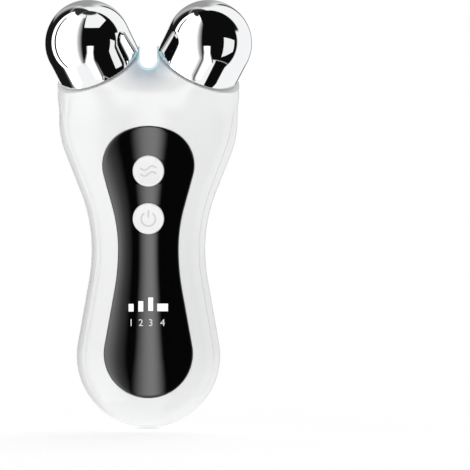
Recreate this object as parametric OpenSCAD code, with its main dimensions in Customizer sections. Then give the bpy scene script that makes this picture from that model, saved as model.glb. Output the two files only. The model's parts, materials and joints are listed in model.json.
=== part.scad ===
// Two-roller facial toning device, upright on its lower end. +Z runs up the handle, the button face
// looks along -Y, and the origin is the middle of the box that the device fills, at its foot.
// Depths are written from the handle's middle plane, and place() moves them to the origin.

/* [Handle outline, seen from the front] */
// Radius of the round lower end
foot_r = 23.7; // [22.5:0.1:25]
// Half width of the waist
waist_half_w = 18.8; // [17.5:0.1:20]
// Height of the waist
waist_z = 58.8; // [57:0.1:61]
// Radius of the hollow side below the waist
waist_low_r = 60; // [52:1:68]
// Radius of the hollow side above the waist
waist_high_r = 51; // [46:1:56]
// Half width of the shoulders
shoulder_half_w = 29.4; // [28.6:0.1:30.4]
// Radius of the turn into the shoulders
shoulder_r = 30; // [26:1:33]
// Height from which the shoulders stand upright
shoulder_z = 101; // [99.5:0.5:102.5]
// Height from which the shoulders close towards the top
crown_z = 108; // [107:0.5:109]
// Height of that closing stretch
crown_h = 10.5; // [9.5:0.5:12]

/* [Handle depth, from its middle plane] */
// Depth in front at the lower end
foot_front_d = 15; // [14.2:0.1:16]
// Depth in front at the waist
waist_front_d = 14.2; // [13.6:0.1:15]
// Depth in front at the shoulders
shoulder_front_d = 15.4; // [14.6:0.1:16]
// Depth behind at both bulges
bulge_back_d = 15; // [14.4:0.1:16]
// Depth behind at the waist
waist_back_d = 12.8; // [12.4:0.1:13.6]
// Depth that the resting flats take off the back
rest_cut = 0.4; // [0.3:0.1:0.6]
// How far the head shifts forward
head_shift = 4; // [3:0.25:5]
// Squareness of the cross-sections, where 2 is an ellipse
section_power = 2.3; // [2.1:0.05:2.5]

/* [Housing] */
// Wall of the front housing
front_wall = 2.6; // [2.4:0.1:3]
// Wall of the back housing
back_wall = 2.2; // [1.8:0.1:2.6]
// Distance of the parting plane in front of the middle plane
seam_d = 7.7; // [7.2:0.1:8.2]
// Height of the housing's ceiling, above which the head is solid
ceiling_z = 113.8; // [113:0.1:114.2]

/* [Rollers] */
// Radius of the rollers and of their round tips
roller_r = 14.2; // [13.8:0.1:14.4]
// Distance of each roller's tip centre from the middle plane, sideways
ball_x = 19.6; // [19:0.1:20.2]
// Distance of the tip centres in front of the middle plane
ball_d = 10.1; // [9.5:0.1:11]
// Height of the tip centres
ball_z = 125.8; // [125:0.1:127]
// Lean of each roller outward
spread = 27; // [26:0.5:28]
// Lean of the rollers forward
lean = 27.5; // [26:0.5:29]
// Length from a roller's seat to its tip centre
reach = 8.9; // [8.5:0.1:9.4]
// Wall of the roller shells
roller_wall = 1.2; // [1:0.1:1.4]
// Running gap between a roller and its seat
roller_gap = 0.35; // [0.3:0.05:0.5]
// Radius of the housing's rim under a roller
rim_r = 14.6; // [14.4:0.1:15]
// Radius of the spindle
spindle_r = 3; // [2.6:0.1:3.2]
// Radial clearance of the spindle in its bushes
spindle_play = 0.04; // [0.02:0.01:0.08]
// Radius of the bushes
bush_r = 4.5; // [4.2:0.1:4.8]
// Radius of the shaft's root in the yoke
root_r = 3.5; // [3.3:0.1:3.8]
// Length of the shaft's root below the seat
root_len = 12; // [11.5:0.5:12.5]

/* [Notch between the rollers] */
// Inner width of the notch
notch_w = 5.8; // [5.2:0.1:6]
// Height of the notch's lowest point
notch_z = 117.4; // [117.2:0.1:118.4]
// Height of the prongs beside the notch
prong_z = 125.2; // [124:0.1:126]
// Wall of the light guide that lines the notch
guide_wall = 0.8; // [0.6:0.1:0.9]

/* [Panel and buttons] */
// Thickness of the front panel
panel_t = 1.1; // [0.9:0.1:1.2]
// How far the panel stands proud of the housing
panel_proud = 0.15; // [0.05:0.05:0.3]
// Thickness of the film that glues the panel down
film_t = 0.15; // [0.1:0.05:0.2]
// Lowest point of the panel
panel_low_z = 10.5; // [10:0.5:12]
// Radius of the panel's lower end
panel_foot_r = 14.4; // [13:0.1:15]
// Half width of the panel's waist
panel_waist_half_w = 9.75; // [9.2:0.05:10.4]
// Radius of the panel's side below the waist
panel_low_r = 76; // [60:1:80]
// Radius of the panel's side above the waist
panel_high_r = 51; // [46:1:56]
// Radius of the panel's upper corners
panel_corner_r = 12; // [11:0.5:12.5]
// Distance of those corners' centres from the middle
panel_corner_x = 2.9; // [2.4:0.1:3.2]
// Height of those corners' centres
panel_corner_z = 86; // [85.5:0.5:87]
// Highest point of the panel
panel_top_z = 98.6; // [98.4:0.1:98.8]
// Radius of a button
button_r = 5.05; // [4.8:0.05:5.3]
// Height of the mode button
mode_z = 84.1; // [83:0.1:85]
// Height of the power button
power_z = 68.7; // [68:0.1:70]
// How far the buttons stand proud of the panel
button_proud = 0.6; // [0.55:0.05:0.8]
// Travel of the buttons
button_travel = 0.4; // [0.25:0.05:0.45]
// Gap round a button
button_gap = 0.15; // [0.12:0.01:0.2]

/* [Circuit and battery] */
// Thickness of the main board
board_t = 1.6; // [1.2:0.1:1.6]
// Distance of the board's front in front of the middle plane
board_d = 4.6; // [4.4:0.1:4.8]
// Half width of the board
board_half_w = 9; // [8.8:0.1:9.6]
// Height of the board's lower edge
board_low_z = 5.6; // [5.4:0.1:6]
// Height of the board's upper edge
board_top_z = 106; // [105.5:0.5:107]
// Width of the battery
battery_w = 20; // [16:0.5:21]
// Length of the battery
battery_l = 50; // [40:1:50]
// Thickness of the battery
battery_t = 6.5; // [5.5:0.1:6.6]
// Height of the battery's middle
battery_mid_z = 57.4; // [57:0.1:57.6]
// Thickness of the battery's foam tape
tape_t = 0.4; // [0.3:0.1:0.6]
// Width of the charging port
port_w = 8.94; // [8.94:0.01:9.2]
// Height of the charging port's shell, front to back
port_t = 3.16; // [3.16:0.01:3.4]
// Depth of the charging port
port_l = 7.3; // [6.8:0.1:8]

/* [Fasteners] */
// Shank radius of the housing screws
screw_r = 1; // [0.9:0.1:1.1]
// Head radius of the housing screws
head_r = 1.9; // [1.7:0.1:2.1]
// Radius of the housing's screw bosses
boss_r = 3.2; // [3:0.1:3.4]
// Shank radius of the board and yoke screws
small_screw_r = 0.8; // [0.7:0.05:0.85]
// Clearance between a fixed piece and its seat
seat_gap = 0.02; // [0.01:0.01:0.04]

/* [Hidden] */
$fn = 96;
LEFT = -1;
RIGHT = 1;
FRONT = -1;
BACK = 1;

// ---- Places that follow from the sizes above ----

axis_dir = [sin(spread) * cos(lean), -sin(lean), cos(spread) * cos(lean)];
rim_at = [ball_x, -ball_d, ball_z] - reach * axis_dir;
seam_y = -seam_d;
rest_y = bulge_back_d - rest_cut;
mid_y = (ball_d + roller_r - rest_y) / 2;
notch_r = notch_w / 2;
notch_centre_z = notch_z + notch_r;
board_front_y = -board_d;
board_back_y = -board_d + board_t;
panel_floor_d = panel_t - panel_proud + film_t;
battery_low_z = battery_mid_z - battery_l / 2;

// Moves a piece from the handle's middle plane to the device's origin
module place() {
  translate([0, mid_y, 0]) children();
}

// Puts a piece on one roller's axis, with z = 0 at the housing's rim and +z towards the tip
module on_axis(side) {
  translate([side * rim_at.x, rim_at.y, rim_at.z])
    rotate([lean, side * spread, 0]) children();
}

// Draws along +y from the height z, with the drawing's x sideways and its y upwards
module facing_back(x, y, z) {
  translate([x, y, z]) rotate([90, 0, 0]) mirror([0, 0, 1]) children();
}

// A plain tube round the z axis
module tube(outer, inner, from, to) {
  difference() {
    translate([0, 0, from]) cylinder(h = to - from, r = outer);
    translate([0, 0, from - 1]) cylinder(h = to - from + 2, r = inner);
  }
}

// A block given by its lowest and highest corners
module block(low, high) {
  translate(low) cube(high - low);
}

// ---- Outlines: two round ends joined to a hollow waist by straight stretches ----

// Lean of the straight stretch that touches both an end's arc and a waist's arc
function stretch_lean(dx, dz, radii) = atan2(dz, dx) - acos(radii / norm([dx, dz]));

// Half width of an outline at height z.
// foot and head are [radius, centre x, centre z], waist is [half width, z, radius below, radius above].
function half_width(z, foot, waist, head) =
  let(
    low = stretch_lean(waist[0] + waist[2] - foot[1], waist[1] - foot[2], waist[2] + foot[0]),
    high = stretch_lean(waist[0] + waist[3] - head[1], head[2] - waist[1], waist[3] + head[0]),
    foot_end = foot[2] + foot[0] * sin(low),
    head_start = head[2] - head[0] * sin(high)
  )
  z < foot_end ? foot[1] + sqrt(max(0, foot[0] ^ 2 - (z - foot[2]) ^ 2))
  : z < waist[1] - waist[2] * sin(low) ? foot[1] + foot[0] * cos(low) - (z - foot_end) * tan(low)
  : z < waist[1] ? waist[0] + waist[2] - sqrt(waist[2] ^ 2 - (waist[1] - z) ^ 2)
  : z < waist[1] + waist[3] * sin(high) ? waist[0] + waist[3] - sqrt(waist[3] ^ 2 - (z - waist[1]) ^ 2)
  : z < head_start ? head[1] + head[0] * cos(high) - (head_start - z) * tan(high)
  : head[1] + sqrt(max(0, head[0] ^ 2 - (z - head[2]) ^ 2));

// The waist's radius, kept small enough that a straight stretch still fits between it and an end.
// narrow is how much further out the waist lies than the end's centre.
function waist_r(wanted, narrow, dz, end_r) =
  let(touching = (narrow ^ 2 + dz ^ 2 - end_r ^ 2) / (2 * max(end_r - narrow, 0.01)))
  min(wanted, straight_share * touching);
straight_share = 0.98;

body_foot = [foot_r, 0, foot_r];
body_head = [shoulder_r, shoulder_half_w - shoulder_r, shoulder_z];
body_waist = [
  waist_half_w, waist_z,
  waist_r(waist_low_r, waist_half_w - body_foot[1], waist_z - body_foot[2], body_foot[0]),
  waist_r(waist_high_r, waist_half_w - body_head[1], body_head[2] - waist_z, body_head[0])
];

function body_half_w(z) =
  z > shoulder_z ? shoulder_half_w : half_width(max(z, foot_r), body_foot, body_waist, body_head);

panel_foot = [panel_foot_r, 0, panel_low_z + panel_foot_r];
panel_head = [panel_corner_r, panel_corner_x, panel_corner_z];
panel_waist = [
  panel_waist_half_w, waist_z,
  waist_r(panel_low_r, panel_waist_half_w - panel_foot[1], waist_z - panel_foot[2], panel_foot[0]),
  waist_r(panel_high_r, panel_waist_half_w - panel_head[1], panel_head[2] - waist_z, panel_head[0])
];
// The panel's top is one flatter arc that touches both corner arcs
panel_rise = panel_top_z - panel_corner_z;
panel_cap_r = (panel_rise ^ 2 + panel_corner_x ^ 2 - panel_corner_r ^ 2) / (2 * (panel_rise - panel_corner_r));
panel_cap_z = panel_top_z - panel_cap_r;
panel_cap_from = panel_corner_z
  + panel_corner_r * (panel_corner_z - panel_cap_z) / (panel_cap_r - panel_corner_r);

function panel_half_w(z) =
  z > panel_cap_from ? sqrt(max(0, panel_cap_r ^ 2 - (z - panel_cap_z) ^ 2))
  : half_width(z, panel_foot, panel_waist, panel_head);

// ---- The handle's outside, as the place where a distance field is zero ----

function ease(t) = let(c = min(1, max(0, t))) c * c * (3 - 2 * c);
function between(a, b, t) = a + (b - a) * ease(t);
function soft_min(a, b, k) = let(h = max(k - abs(a - b), 0) / k) min(a, b) - h * h * k / 4;

bulge_z = 24;
upper_bulge_z = 96;
head_bend_z = 90;
head_bend_end_z = 120;
head_blend = 5;
stub_len = 14;
stub_round = 9;
hub_half_w = 4.6;
hub_half_d = 7.5;
hub_d = 4;
hub_lean = 24;
hub_round = 3;
hub_from_z = 106;
head_from_z = 92;

function front_depth(z) = z < waist_z
  ? between(foot_front_d, waist_front_d, (z - bulge_z) / (waist_z - bulge_z))
  : between(waist_front_d, shoulder_front_d, (z - waist_z) / (upper_bulge_z - waist_z));
function back_depth(z) = z < waist_z
  ? between(bulge_back_d, waist_back_d, (z - bulge_z) / (waist_z - bulge_z))
  : between(waist_back_d, bulge_back_d, (z - waist_z) / (upper_bulge_z - waist_z));
function middle_y(z) = -head_shift * ease((z - head_bend_z) / (head_bend_end_z - head_bend_z));

// Distance from the handle's peanut-shaped body, less than zero inside it
function body_field(p) =
  let(
    w = body_half_w(p.z),
    h = p.z < foot_r ? foot_r : crown_h,
    rise = p.z < foot_r ? foot_r - p.z : max(0, p.z - crown_z),
    y = p.y - middle_y(p.z),
    d = y < 0 ? front_depth(p.z) : back_depth(p.z),
    across = max(norm([p.x / w, rise / h]), 1e-6),
    deep = abs(y) / d,
    size = (across ^ section_power + deep ^ section_power) ^ (1 / section_power),
    steep = norm([p.x / w ^ 2, rise / h ^ 2]) / across,
    slope = norm([(across / size) ^ (section_power - 1) * max(steep, 1 / w),
                  (deep / size) ^ (section_power - 1) / d])
  )
  (size - 1) / slope;

// Distance from the round stub that carries one roller
function stub_field(p, side) =
  let(
    q = [side * p.x, p.y, p.z] - rim_at,
    s = q * axis_dir,
    a = [norm(q - s * axis_dir) - rim_r + stub_round, -s - stub_len + stub_round]
  )
  norm([max(a[0], 0), max(a[1], 0)]) + min(max(a[0], a[1]), 0) - stub_round;

// Distance from the hub that fills the fork between the stubs
function hub_field(p) =
  let(
    y = p.y + hub_d + (p.z - rim_at.z) * tan(hub_lean),
    a = [abs(p.x) - hub_half_w + hub_round, abs(y) - hub_half_d + hub_round, hub_from_z - p.z]
  )
  norm([for (v = a) max(v, 0)]) + min(max(a), 0) - hub_round;

function field(p) = p.z < head_from_z ? body_field(p)
  : let(stubs = soft_min(stub_field(p, RIGHT), stub_field(p, LEFT), head_blend))
    soft_min(soft_min(body_field(p), stubs, head_blend), hub_field(p), head_blend);

// Length along the ray from p in direction d at which the field reaches a level
ray_steps = 16;
function ray(p, d, level, low = 0, high = head_box, steps = ray_steps) =
  steps == 0 ? (low + high) / 2
  : let(m = (low + high) / 2)
    field(p + m * d) < level ? ray(p, d, level, m, high, steps - 1) : ray(p, d, level, low, m, steps - 1);

// Depth of the outside at x, z, and of the surface that lies in_by under it
function surface_y(x, z, way, in_by = 0) = way * ray([x, 0, z], [0, way, 0], -in_by);

// ---- Housing shells ----

cols = 28;
fan_rows = 10;
handle_rows = 16;
neck_rows = 10;
head_rows = 8;
head_top_z = 130;
row_z = concat(
  [for (i = [0 : handle_rows - 1]) foot_r + (head_from_z - foot_r) * i / handle_rows],
  [for (i = [0 : neck_rows - 1]) head_from_z + (ceiling_z - head_from_z) * i / neck_rows],
  [for (i = [0 : head_rows]) ceiling_z + (head_top_z - ceiling_z) * i / head_rows]
);
last_row = fan_rows + len(row_z) - 1;
ceiling_row = fan_rows + handle_rows + neck_rows;
row_len = cols + 1;

function row_height(i) = i < fan_rows ? foot_r : row_z[i - fan_rows];

// One point of a shell's surface: rows rise up the handle and columns run round it from seam to
// seam. The lowest rows fan out round the line where the foot's round end meets the parting plane.
function shell_point(i, j, way, in_by) =
  let(
    turn = i < fan_rows ? 90 * (1 - i / fan_rows) : 0,
    deep = way == FRONT ? front_depth(row_height(i)) - seam_d : bulge_back_d + seam_d,
    squash = 1 / norm([cos(turn) / deep, sin(turn) / foot_r]) / body_half_w(row_height(i)),
    a = 180 * j / cols,
    out = [0, way * cos(turn), -sin(turn)],
    d = [-way * cos(a), 0, 0] + squash * sin(a) * out,
    centre = [0, seam_y, row_height(i)]
  )
  centre + ray(centre, d / norm(d), -in_by) * d / norm(d);

function outer_index(i, j) = (i < fan_rows && (j == 0 || j == cols) ? fan_rows : i) * row_len + j;
function inner_index(i, j) = (last_row + 1) * row_len + outer_index(i, j);
function middle_index(i) = (last_row + ceiling_row + 2) * row_len + i - ceiling_row;
function triangles(q) = [
  if (q[0] != q[1] && q[1] != q[2] && q[2] != q[0]) [q[0], q[1], q[2]],
  if (q[0] != q[2] && q[2] != q[3] && q[3] != q[0]) [q[0], q[2], q[3]]
];

// One half of the housing: a shell up to the ceiling and solid above it, flat at the parting plane
module housing_half(way, wall) {
  points = concat(
    [for (i = [0 : last_row], j = [0 : cols]) shell_point(i, j, way, 0)],
    [for (i = [0 : ceiling_row], j = [0 : cols]) shell_point(i, j, way, wall)],
    [for (i = [ceiling_row : last_row]) [0, seam_y, row_height(i)]]
  );
  skin = [for (i = [0 : last_row - 1], j = [0 : cols - 1])
    [outer_index(i, j), outer_index(i, j + 1), outer_index(i + 1, j + 1), outer_index(i + 1, j)]];
  lining = [for (i = [0 : ceiling_row - 1], j = [0 : cols - 1])
    [inner_index(i, j), inner_index(i + 1, j), inner_index(i + 1, j + 1), inner_index(i, j + 1)]];
  foot_seam = [for (j = [0 : cols - 1])
    [outer_index(0, j + 1), outer_index(0, j), inner_index(0, j), inner_index(0, j + 1)]];
  side_seams = [for (i = [fan_rows : ceiling_row - 1]) each [
    [outer_index(i, 0), outer_index(i + 1, 0), inner_index(i + 1, 0), inner_index(i, 0)],
    [outer_index(i + 1, cols), outer_index(i, cols), inner_index(i, cols), inner_index(i + 1, cols)]]];
  head_seam = [for (i = [ceiling_row + 1 : last_row - 1]) each [
    [outer_index(i, 0), outer_index(i + 1, 0), middle_index(i + 1), middle_index(i)],
    [outer_index(i + 1, cols), outer_index(i, cols), middle_index(i), middle_index(i + 1)]]];
  c = ceiling_row;
  caps = concat(
    [for (j = [0 : cols - 1]) [middle_index(c), inner_index(c, j + 1), inner_index(c, j)]],
    [for (j = [0 : cols - 1]) [middle_index(last_row), outer_index(last_row, j), outer_index(last_row, j + 1)]],
    [[outer_index(c, 0), outer_index(c + 1, 0), inner_index(c, 0)],
     [inner_index(c, 0), outer_index(c + 1, 0), middle_index(c + 1)],
     [inner_index(c, 0), middle_index(c + 1), middle_index(c)],
     [outer_index(c + 1, cols), outer_index(c, cols), inner_index(c, cols)],
     [outer_index(c + 1, cols), inner_index(c, cols), middle_index(c + 1)],
     [middle_index(c + 1), inner_index(c, cols), middle_index(c)]]
  );
  polyhedron(points, concat([for (q = concat(skin, lining, foot_seam, side_seams, head_seam)) each triangles(q)], caps));
}

// What the head loses: everything past the roller seats, the notch, the prongs' tips, and the bores
// that take the yoke's discs and bosses
disc_r = 10.8;
disc_t = 2.5;
yoke_boss_r = 6.4;
yoke_clearance = 0.2;
head_box = 60;
module head_cuts() {
  for (side = [LEFT, RIGHT]) on_axis(side) {
    translate([-head_box / 2, -head_box / 2, 0]) cube(head_box);
    translate([0, 0, -disc_t - roller_gap - yoke_clearance]) cylinder(h = 10, r = disc_r + yoke_clearance);
    translate([0, 0, -root_len - 1]) cylinder(h = root_len, r = yoke_boss_r + yoke_clearance);
  }
  slot_r = notch_r + guide_wall + seat_gap;
  prong_x = 12;
  prong_rise = 0.56;
  facing_back(0, -head_box / 2, 0) linear_extrude(head_box) union() {
    translate([0, notch_centre_z]) circle(slot_r);
    translate([-slot_r, notch_centre_z]) square([2 * slot_r, 20]);
    polygon([[-slot_r, prong_z], [slot_r, prong_z],
             [prong_x, prong_z + (prong_x - slot_r) * prong_rise], [prong_x, prong_z + 20],
             [-prong_x, prong_z + 20], [-prong_x, prong_z + (prong_x - slot_r) * prong_rise]]);
  }
}

// ---- Fastener places, as [x, z] ----

housing_screws_at = [[-19.5, 97], [19.5, 97], [-13, 19], [13, 19]];
board_screws_at = [[-6.6, 98], [6.6, 98], [-6.6, 24], [6.6, 24]];
yoke_screws_at = [[-8.4, 101.5], [8.4, 101.5]];
meet_y = 0.5;
head_seat_y = 8;
head_t = 1.4;
small_head_r = 1.5;
small_head_t = 1;
post_r = 2;
plate_front_y = 0;
plate_t = 3;
plate_half_w = 12.5;
plate_low_z = 98.5;
plate_high_z = 112;
pilot_depth = 7;
small_pilot_depth = 6;
small_screw_in = 5;
pocket_out = 6;

// Depth at which a boss of radius r ends inside the wall, so that it never shows outside
function boss_end(at, r, way, wall, keep) =
  let(ends = [for (a = [0 : 45 : 315]) surface_y(at[0] + r * cos(a), at[1] + r * sin(a), way, wall - keep)])
  way == FRONT ? max(ends) : min(ends);

// A round boss along y
module post(at, r, from, to) {
  facing_back(at[0], from, at[1]) cylinder(h = to - from, r = r);
}

// ---- Panel, its film and its pocket: slabs that follow the housing's front ----

patch_rows = 32;
patch_cols = 10;

function patch_point(i, j, grow, depth) =
  let(
    t = (1 - cos(180 * i / patch_rows)) / 2,
    w = max(panel_half_w(panel_low_z + (panel_top_z - panel_low_z) * t) + grow, 0.2),
    z = panel_low_z - grow + (panel_top_z - panel_low_z + 2 * grow) * t,
    x = w * (1 - 2 * j / patch_cols)
  )
  [x, surface_y(x, z, FRONT) + depth, z];

function patch_index(i, j, layer) = (layer * (patch_rows + 1) + i) * (patch_cols + 1) + j;

// A slab of the panel's outline, from the depth low to the depth high under the housing's front
module front_slab(grow, low, high) {
  points = [for (depth = [low, high], i = [0 : patch_rows], j = [0 : patch_cols]) patch_point(i, j, grow, depth)];
  faces = [for (i = [0 : patch_rows - 1], j = [0 : patch_cols - 1]) each [
    [patch_index(i, j, 0), patch_index(i, j + 1, 0), patch_index(i + 1, j + 1, 0), patch_index(i + 1, j, 0)],
    [patch_index(i, j, 1), patch_index(i + 1, j, 1), patch_index(i + 1, j + 1, 1), patch_index(i, j + 1, 1)]]];
  ends = [for (j = [0 : patch_cols - 1]) each [
    [patch_index(0, j + 1, 0), patch_index(0, j, 0), patch_index(0, j, 1), patch_index(0, j + 1, 1)],
    [patch_index(patch_rows, j, 0), patch_index(patch_rows, j + 1, 0),
     patch_index(patch_rows, j + 1, 1), patch_index(patch_rows, j, 1)]]];
  sides = [for (i = [0 : patch_rows - 1]) each [
    [patch_index(i, 0, 0), patch_index(i + 1, 0, 0), patch_index(i + 1, 0, 1), patch_index(i, 0, 1)],
    [patch_index(i + 1, patch_cols, 0), patch_index(i, patch_cols, 0),
     patch_index(i, patch_cols, 1), patch_index(i + 1, patch_cols, 1)]]];
  polyhedron(points, [for (q = concat(faces, ends, sides)) each triangles(q)]);
}

// The four level marks, as [left, right, low, high]
level_bars = [[-6.4, -4.8, 38.6, 41], [-3.25, -1.65, 38.6, 41.9], [-0.05, 1.55, 38.8, 43.1], [2.9, 6.35, 38.7, 41.1]];
bar_gap = 0.1;
button_hole_r = button_r + button_gap;

// Holes for the buttons and the level marks, right through the front
module front_openings(gap) {
  for (z = [mode_z, power_z]) post([0, z], button_hole_r, -30, -5);
  for (b = level_bars) block([b[0] - gap, -30, b[2] - gap], [b[1] + gap, -5, b[3] + gap]);
}

// ---- Housing and panel ----

module front_housing() {
  color("white") place() difference() {
    union() {
      difference() {
        housing_half(FRONT, front_wall);
        head_cuts();
        front_slab(bar_gap, -pocket_out, panel_floor_d);
      }
      for (at = housing_screws_at) post(at, boss_r, boss_end(at, boss_r, FRONT, front_wall, 0.6), meet_y);
      for (at = board_screws_at) post(at, post_r, boss_end(at, post_r, FRONT, front_wall, 0.6), board_front_y);
    }
    front_openings(bar_gap);
    for (at = housing_screws_at) post(at, screw_r + seat_gap, meet_y - pilot_depth, meet_y + 1);
    for (at = board_screws_at)
      post(at, small_screw_r + seat_gap, board_front_y - small_pilot_depth, board_front_y + 1);
  }
}

rib_half_w = 5;
rib_t = 1.4;
battery_back_y = 8.5;
battery_ribs_z = [battery_low_z + 7, battery_low_z + battery_l / 2, battery_low_z + battery_l - 7];
port_y = board_back_y + port_t / 2 + seat_gap;
port_low_z = 0.9;
port_gap = 0.25;
stem_half_w = 1.5;
stem_low_y = -4.4;
stem_high_y = -1.9;

// A slot with round ends, w wide along x and t thick along y
module round_slot(w, t) {
  square([w - t, t], center = true);
  for (side = [LEFT, RIGHT]) translate([side * (w - t) / 2, 0]) circle(t / 2);
}

module back_housing() {
  color("white") place() difference() {
    union() {
      difference() {
        housing_half(BACK, back_wall);
        head_cuts();
      }
      for (at = housing_screws_at) post(at, boss_r, meet_y, boss_end(at, boss_r, BACK, back_wall, 0.6));
      for (at = yoke_screws_at)
        post(at, post_r, plate_front_y + plate_t, boss_end(at, post_r, BACK, back_wall, 0.6));
      for (z = battery_ribs_z)
        block([-rib_half_w, battery_back_y + tape_t, z - rib_t / 2],
              [rib_half_w, surface_y(rib_half_w, z, BACK, back_wall / 2), z + rib_t / 2]);
    }
    translate([-head_box / 2, rest_y, -1]) cube([head_box, 10, ball_z]);
    translate([0, port_y, -1]) linear_extrude(port_low_z + 4) round_slot(port_w + 2 * port_gap, port_t + 2 * port_gap);
    block([-stem_half_w - seat_gap, stem_low_y - seat_gap, ceiling_z - 1],
          [stem_half_w + seat_gap, stem_high_y + seat_gap, notch_z]);
    for (at = housing_screws_at) {
      post(at, screw_r + 0.15, meet_y - 1, head_seat_y + 1);
      post(at, head_r + 0.2, head_seat_y, 20);
    }
    for (at = yoke_screws_at)
      post(at, small_screw_r + seat_gap, plate_front_y, plate_front_y + plate_t + 6);
  }
}

module front_panel() {
  color([0.04, 0.04, 0.045]) place() difference() {
    front_slab(0, -panel_proud, panel_t - panel_proud);
    front_openings(bar_gap);
  }
}

module panel_adhesive() {
  color([0.85, 0.85, 0.8]) place() difference() {
    front_slab(0, panel_t - panel_proud + seat_gap, panel_floor_d - seat_gap);
    front_openings(0.4);
  }
}

// ---- Buttons and switches ----

flange_r = 6.2;
flange_t = 0.9;
flange_gap = 0.1;
stem_r = 1.6;
switch_w = 6;
switch_t = 3.5;
plunger_r = 1.7;
plunger_out = 0.9;
plunger_in = 0.6;
plunger_y = board_front_y - switch_t - plunger_out;
cap_edge = 0.35;

// A button's cap, the flange that keeps it in, and the stem that reaches its switch
module button(z) {
  face_y = surface_y(0, z, FRONT) - panel_proud - button_proud;
  flange_y = boss_end([0, z], flange_r, FRONT, front_wall, 0) + flange_gap;
  facing_back(0, face_y, z) rotate_extrude() polygon(concat(
    [[0, 0]],
    [for (a = [0 : 15 : 90]) [button_r - cap_edge + cap_edge * sin(a), cap_edge - cap_edge * cos(a)]],
    [[button_r, flange_y - face_y], [flange_r, flange_y - face_y], [flange_r, flange_y - face_y + flange_t],
     [stem_r, flange_y - face_y + flange_t], [stem_r, plunger_y - face_y], [0, plunger_y - face_y]]
  ));
}

module switch_case(z) {
  case_y = board_front_y - switch_t;
  difference() {
    union() {
      block([-switch_w / 2, case_y + 0.3, z - switch_w / 2], [switch_w / 2, board_front_y, z + switch_w / 2]);
      block([-switch_w / 2 + 0.3, case_y, z - switch_w / 2 + 0.3],
            [switch_w / 2 - 0.3, case_y + 0.31, z + switch_w / 2 - 0.3]);
      for (x = [LEFT, RIGHT], q = [-1, 1]) post([x * 2, z + q * 2], 0.4, case_y - 0.15, case_y + 0.1);
    }
    post([0, z], plunger_r + 0.05, case_y - 1, case_y + plunger_in + button_travel + 0.2);
  }
}

module switch_plunger(z) {
  post([0, z], plunger_r, plunger_y, plunger_y + plunger_out + plunger_in);
}

module mode_button() { color([0.93, 0.93, 0.93]) place() button(mode_z); }
module power_button() { color([0.93, 0.93, 0.93]) place() button(power_z); }
module mode_switch() { color([0.2, 0.2, 0.22]) place() switch_case(mode_z); }
module power_switch() { color([0.2, 0.2, 0.22]) place() switch_case(power_z); }
module mode_switch_plunger() { color([0.1, 0.1, 0.1]) place() switch_plunger(mode_z); }
module power_switch_plunger() { color([0.1, 0.1, 0.1]) place() switch_plunger(power_z); }

// ---- Lights ----

guide_plate_t = 1;
guide_margin = 0.8;
led_t = 0.8;
led_w = 1.6;

module level_light_guide() {
  plate_y = surface_y(level_bars[3][1] + guide_margin, level_bars[2][3] + guide_margin, FRONT, front_wall) + 0.1;
  color([0.9, 0.95, 1, 0.8]) place() {
    block([level_bars[0][0] - guide_margin, plate_y, level_bars[0][2] - guide_margin],
          [level_bars[3][1] + guide_margin, plate_y + guide_plate_t, level_bars[2][3] + guide_margin]);
    for (b = level_bars)
      block([b[0], surface_y(max(abs(b[0]), abs(b[1])), b[2], FRONT) - panel_proud + 0.03, b[2]],
            [b[1], plate_y + 0.1, b[3]]);
  }
}

module level_leds() {
  color([1, 1, 0.9]) place() for (b = level_bars) {
    mid = [(b[0] + b[1]) / 2, board_front_y - led_t / 2, b[2] + led_w / 2 + 0.6];
    translate(mid) cube([led_w, led_t, led_w], center = true);
  }
}

// The clear liner of the notch, with a stem that brings it the light of the lamp under it
module notch_light_guide() {
  outer = notch_r + guide_wall;
  low = notch_z - guide_wall;
  heights = [for (i = [0 : 5]) low + (prong_z - low) * i / 5];
  color([0.8, 0.95, 1, 0.7]) place() {
    difference() {
      intersection() {
        facing_back(0, -head_box / 2, 0) linear_extrude(head_box) difference() {
          union() {
            translate([0, notch_centre_z]) circle(outer);
            translate([-outer, notch_centre_z]) square([2 * outer, prong_z - notch_centre_z]);
          }
          translate([0, notch_centre_z]) circle(notch_r);
          translate([-notch_r, notch_centre_z]) square([2 * notch_r, 20]);
        }
        translate([-10, 0, 0]) rotate([90, 0, 90]) linear_extrude(20) polygon(concat(
          [for (z = heights) [surface_y(outer, z, FRONT) + 0.15, z]],
          [for (i = [5 : -1 : 0]) [surface_y(outer, heights[i], BACK) - 0.15, heights[i]]]
        ));
      }
      for (side = [LEFT, RIGHT]) on_axis(side) translate([-head_box / 2, -head_box / 2, 0]) cube(head_box);
    }
    block([-stem_half_w, stem_low_y, board_top_z + 0.4], [stem_half_w, stem_high_y, notch_z - guide_wall / 2]);
  }
}

module notch_led() {
  color([0.6, 0.85, 1]) place()
    block([-1.6, board_back_y, board_top_z - 2], [1.6, board_back_y + 1.1, board_top_z + 0.1]);
}

// ---- Board and what it carries ----

module main_board() {
  corner = 1.5;
  w = board_half_w - corner;
  color([0.05, 0.3, 0.15]) place() facing_back(0, board_front_y, 0) linear_extrude(board_t) difference() {
    union() {
      translate([-board_half_w, board_low_z + corner])
        square([2 * board_half_w, board_top_z - board_low_z - 2 * corner]);
      translate([-w, board_low_z]) square([2 * w, board_top_z - board_low_z]);
      for (x = [-w, w], z = [board_low_z + corner, board_top_z - corner]) translate([x, z]) circle(corner);
    }
    for (at = board_screws_at) translate(at) circle(small_screw_r + 0.1);
  }
}

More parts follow.
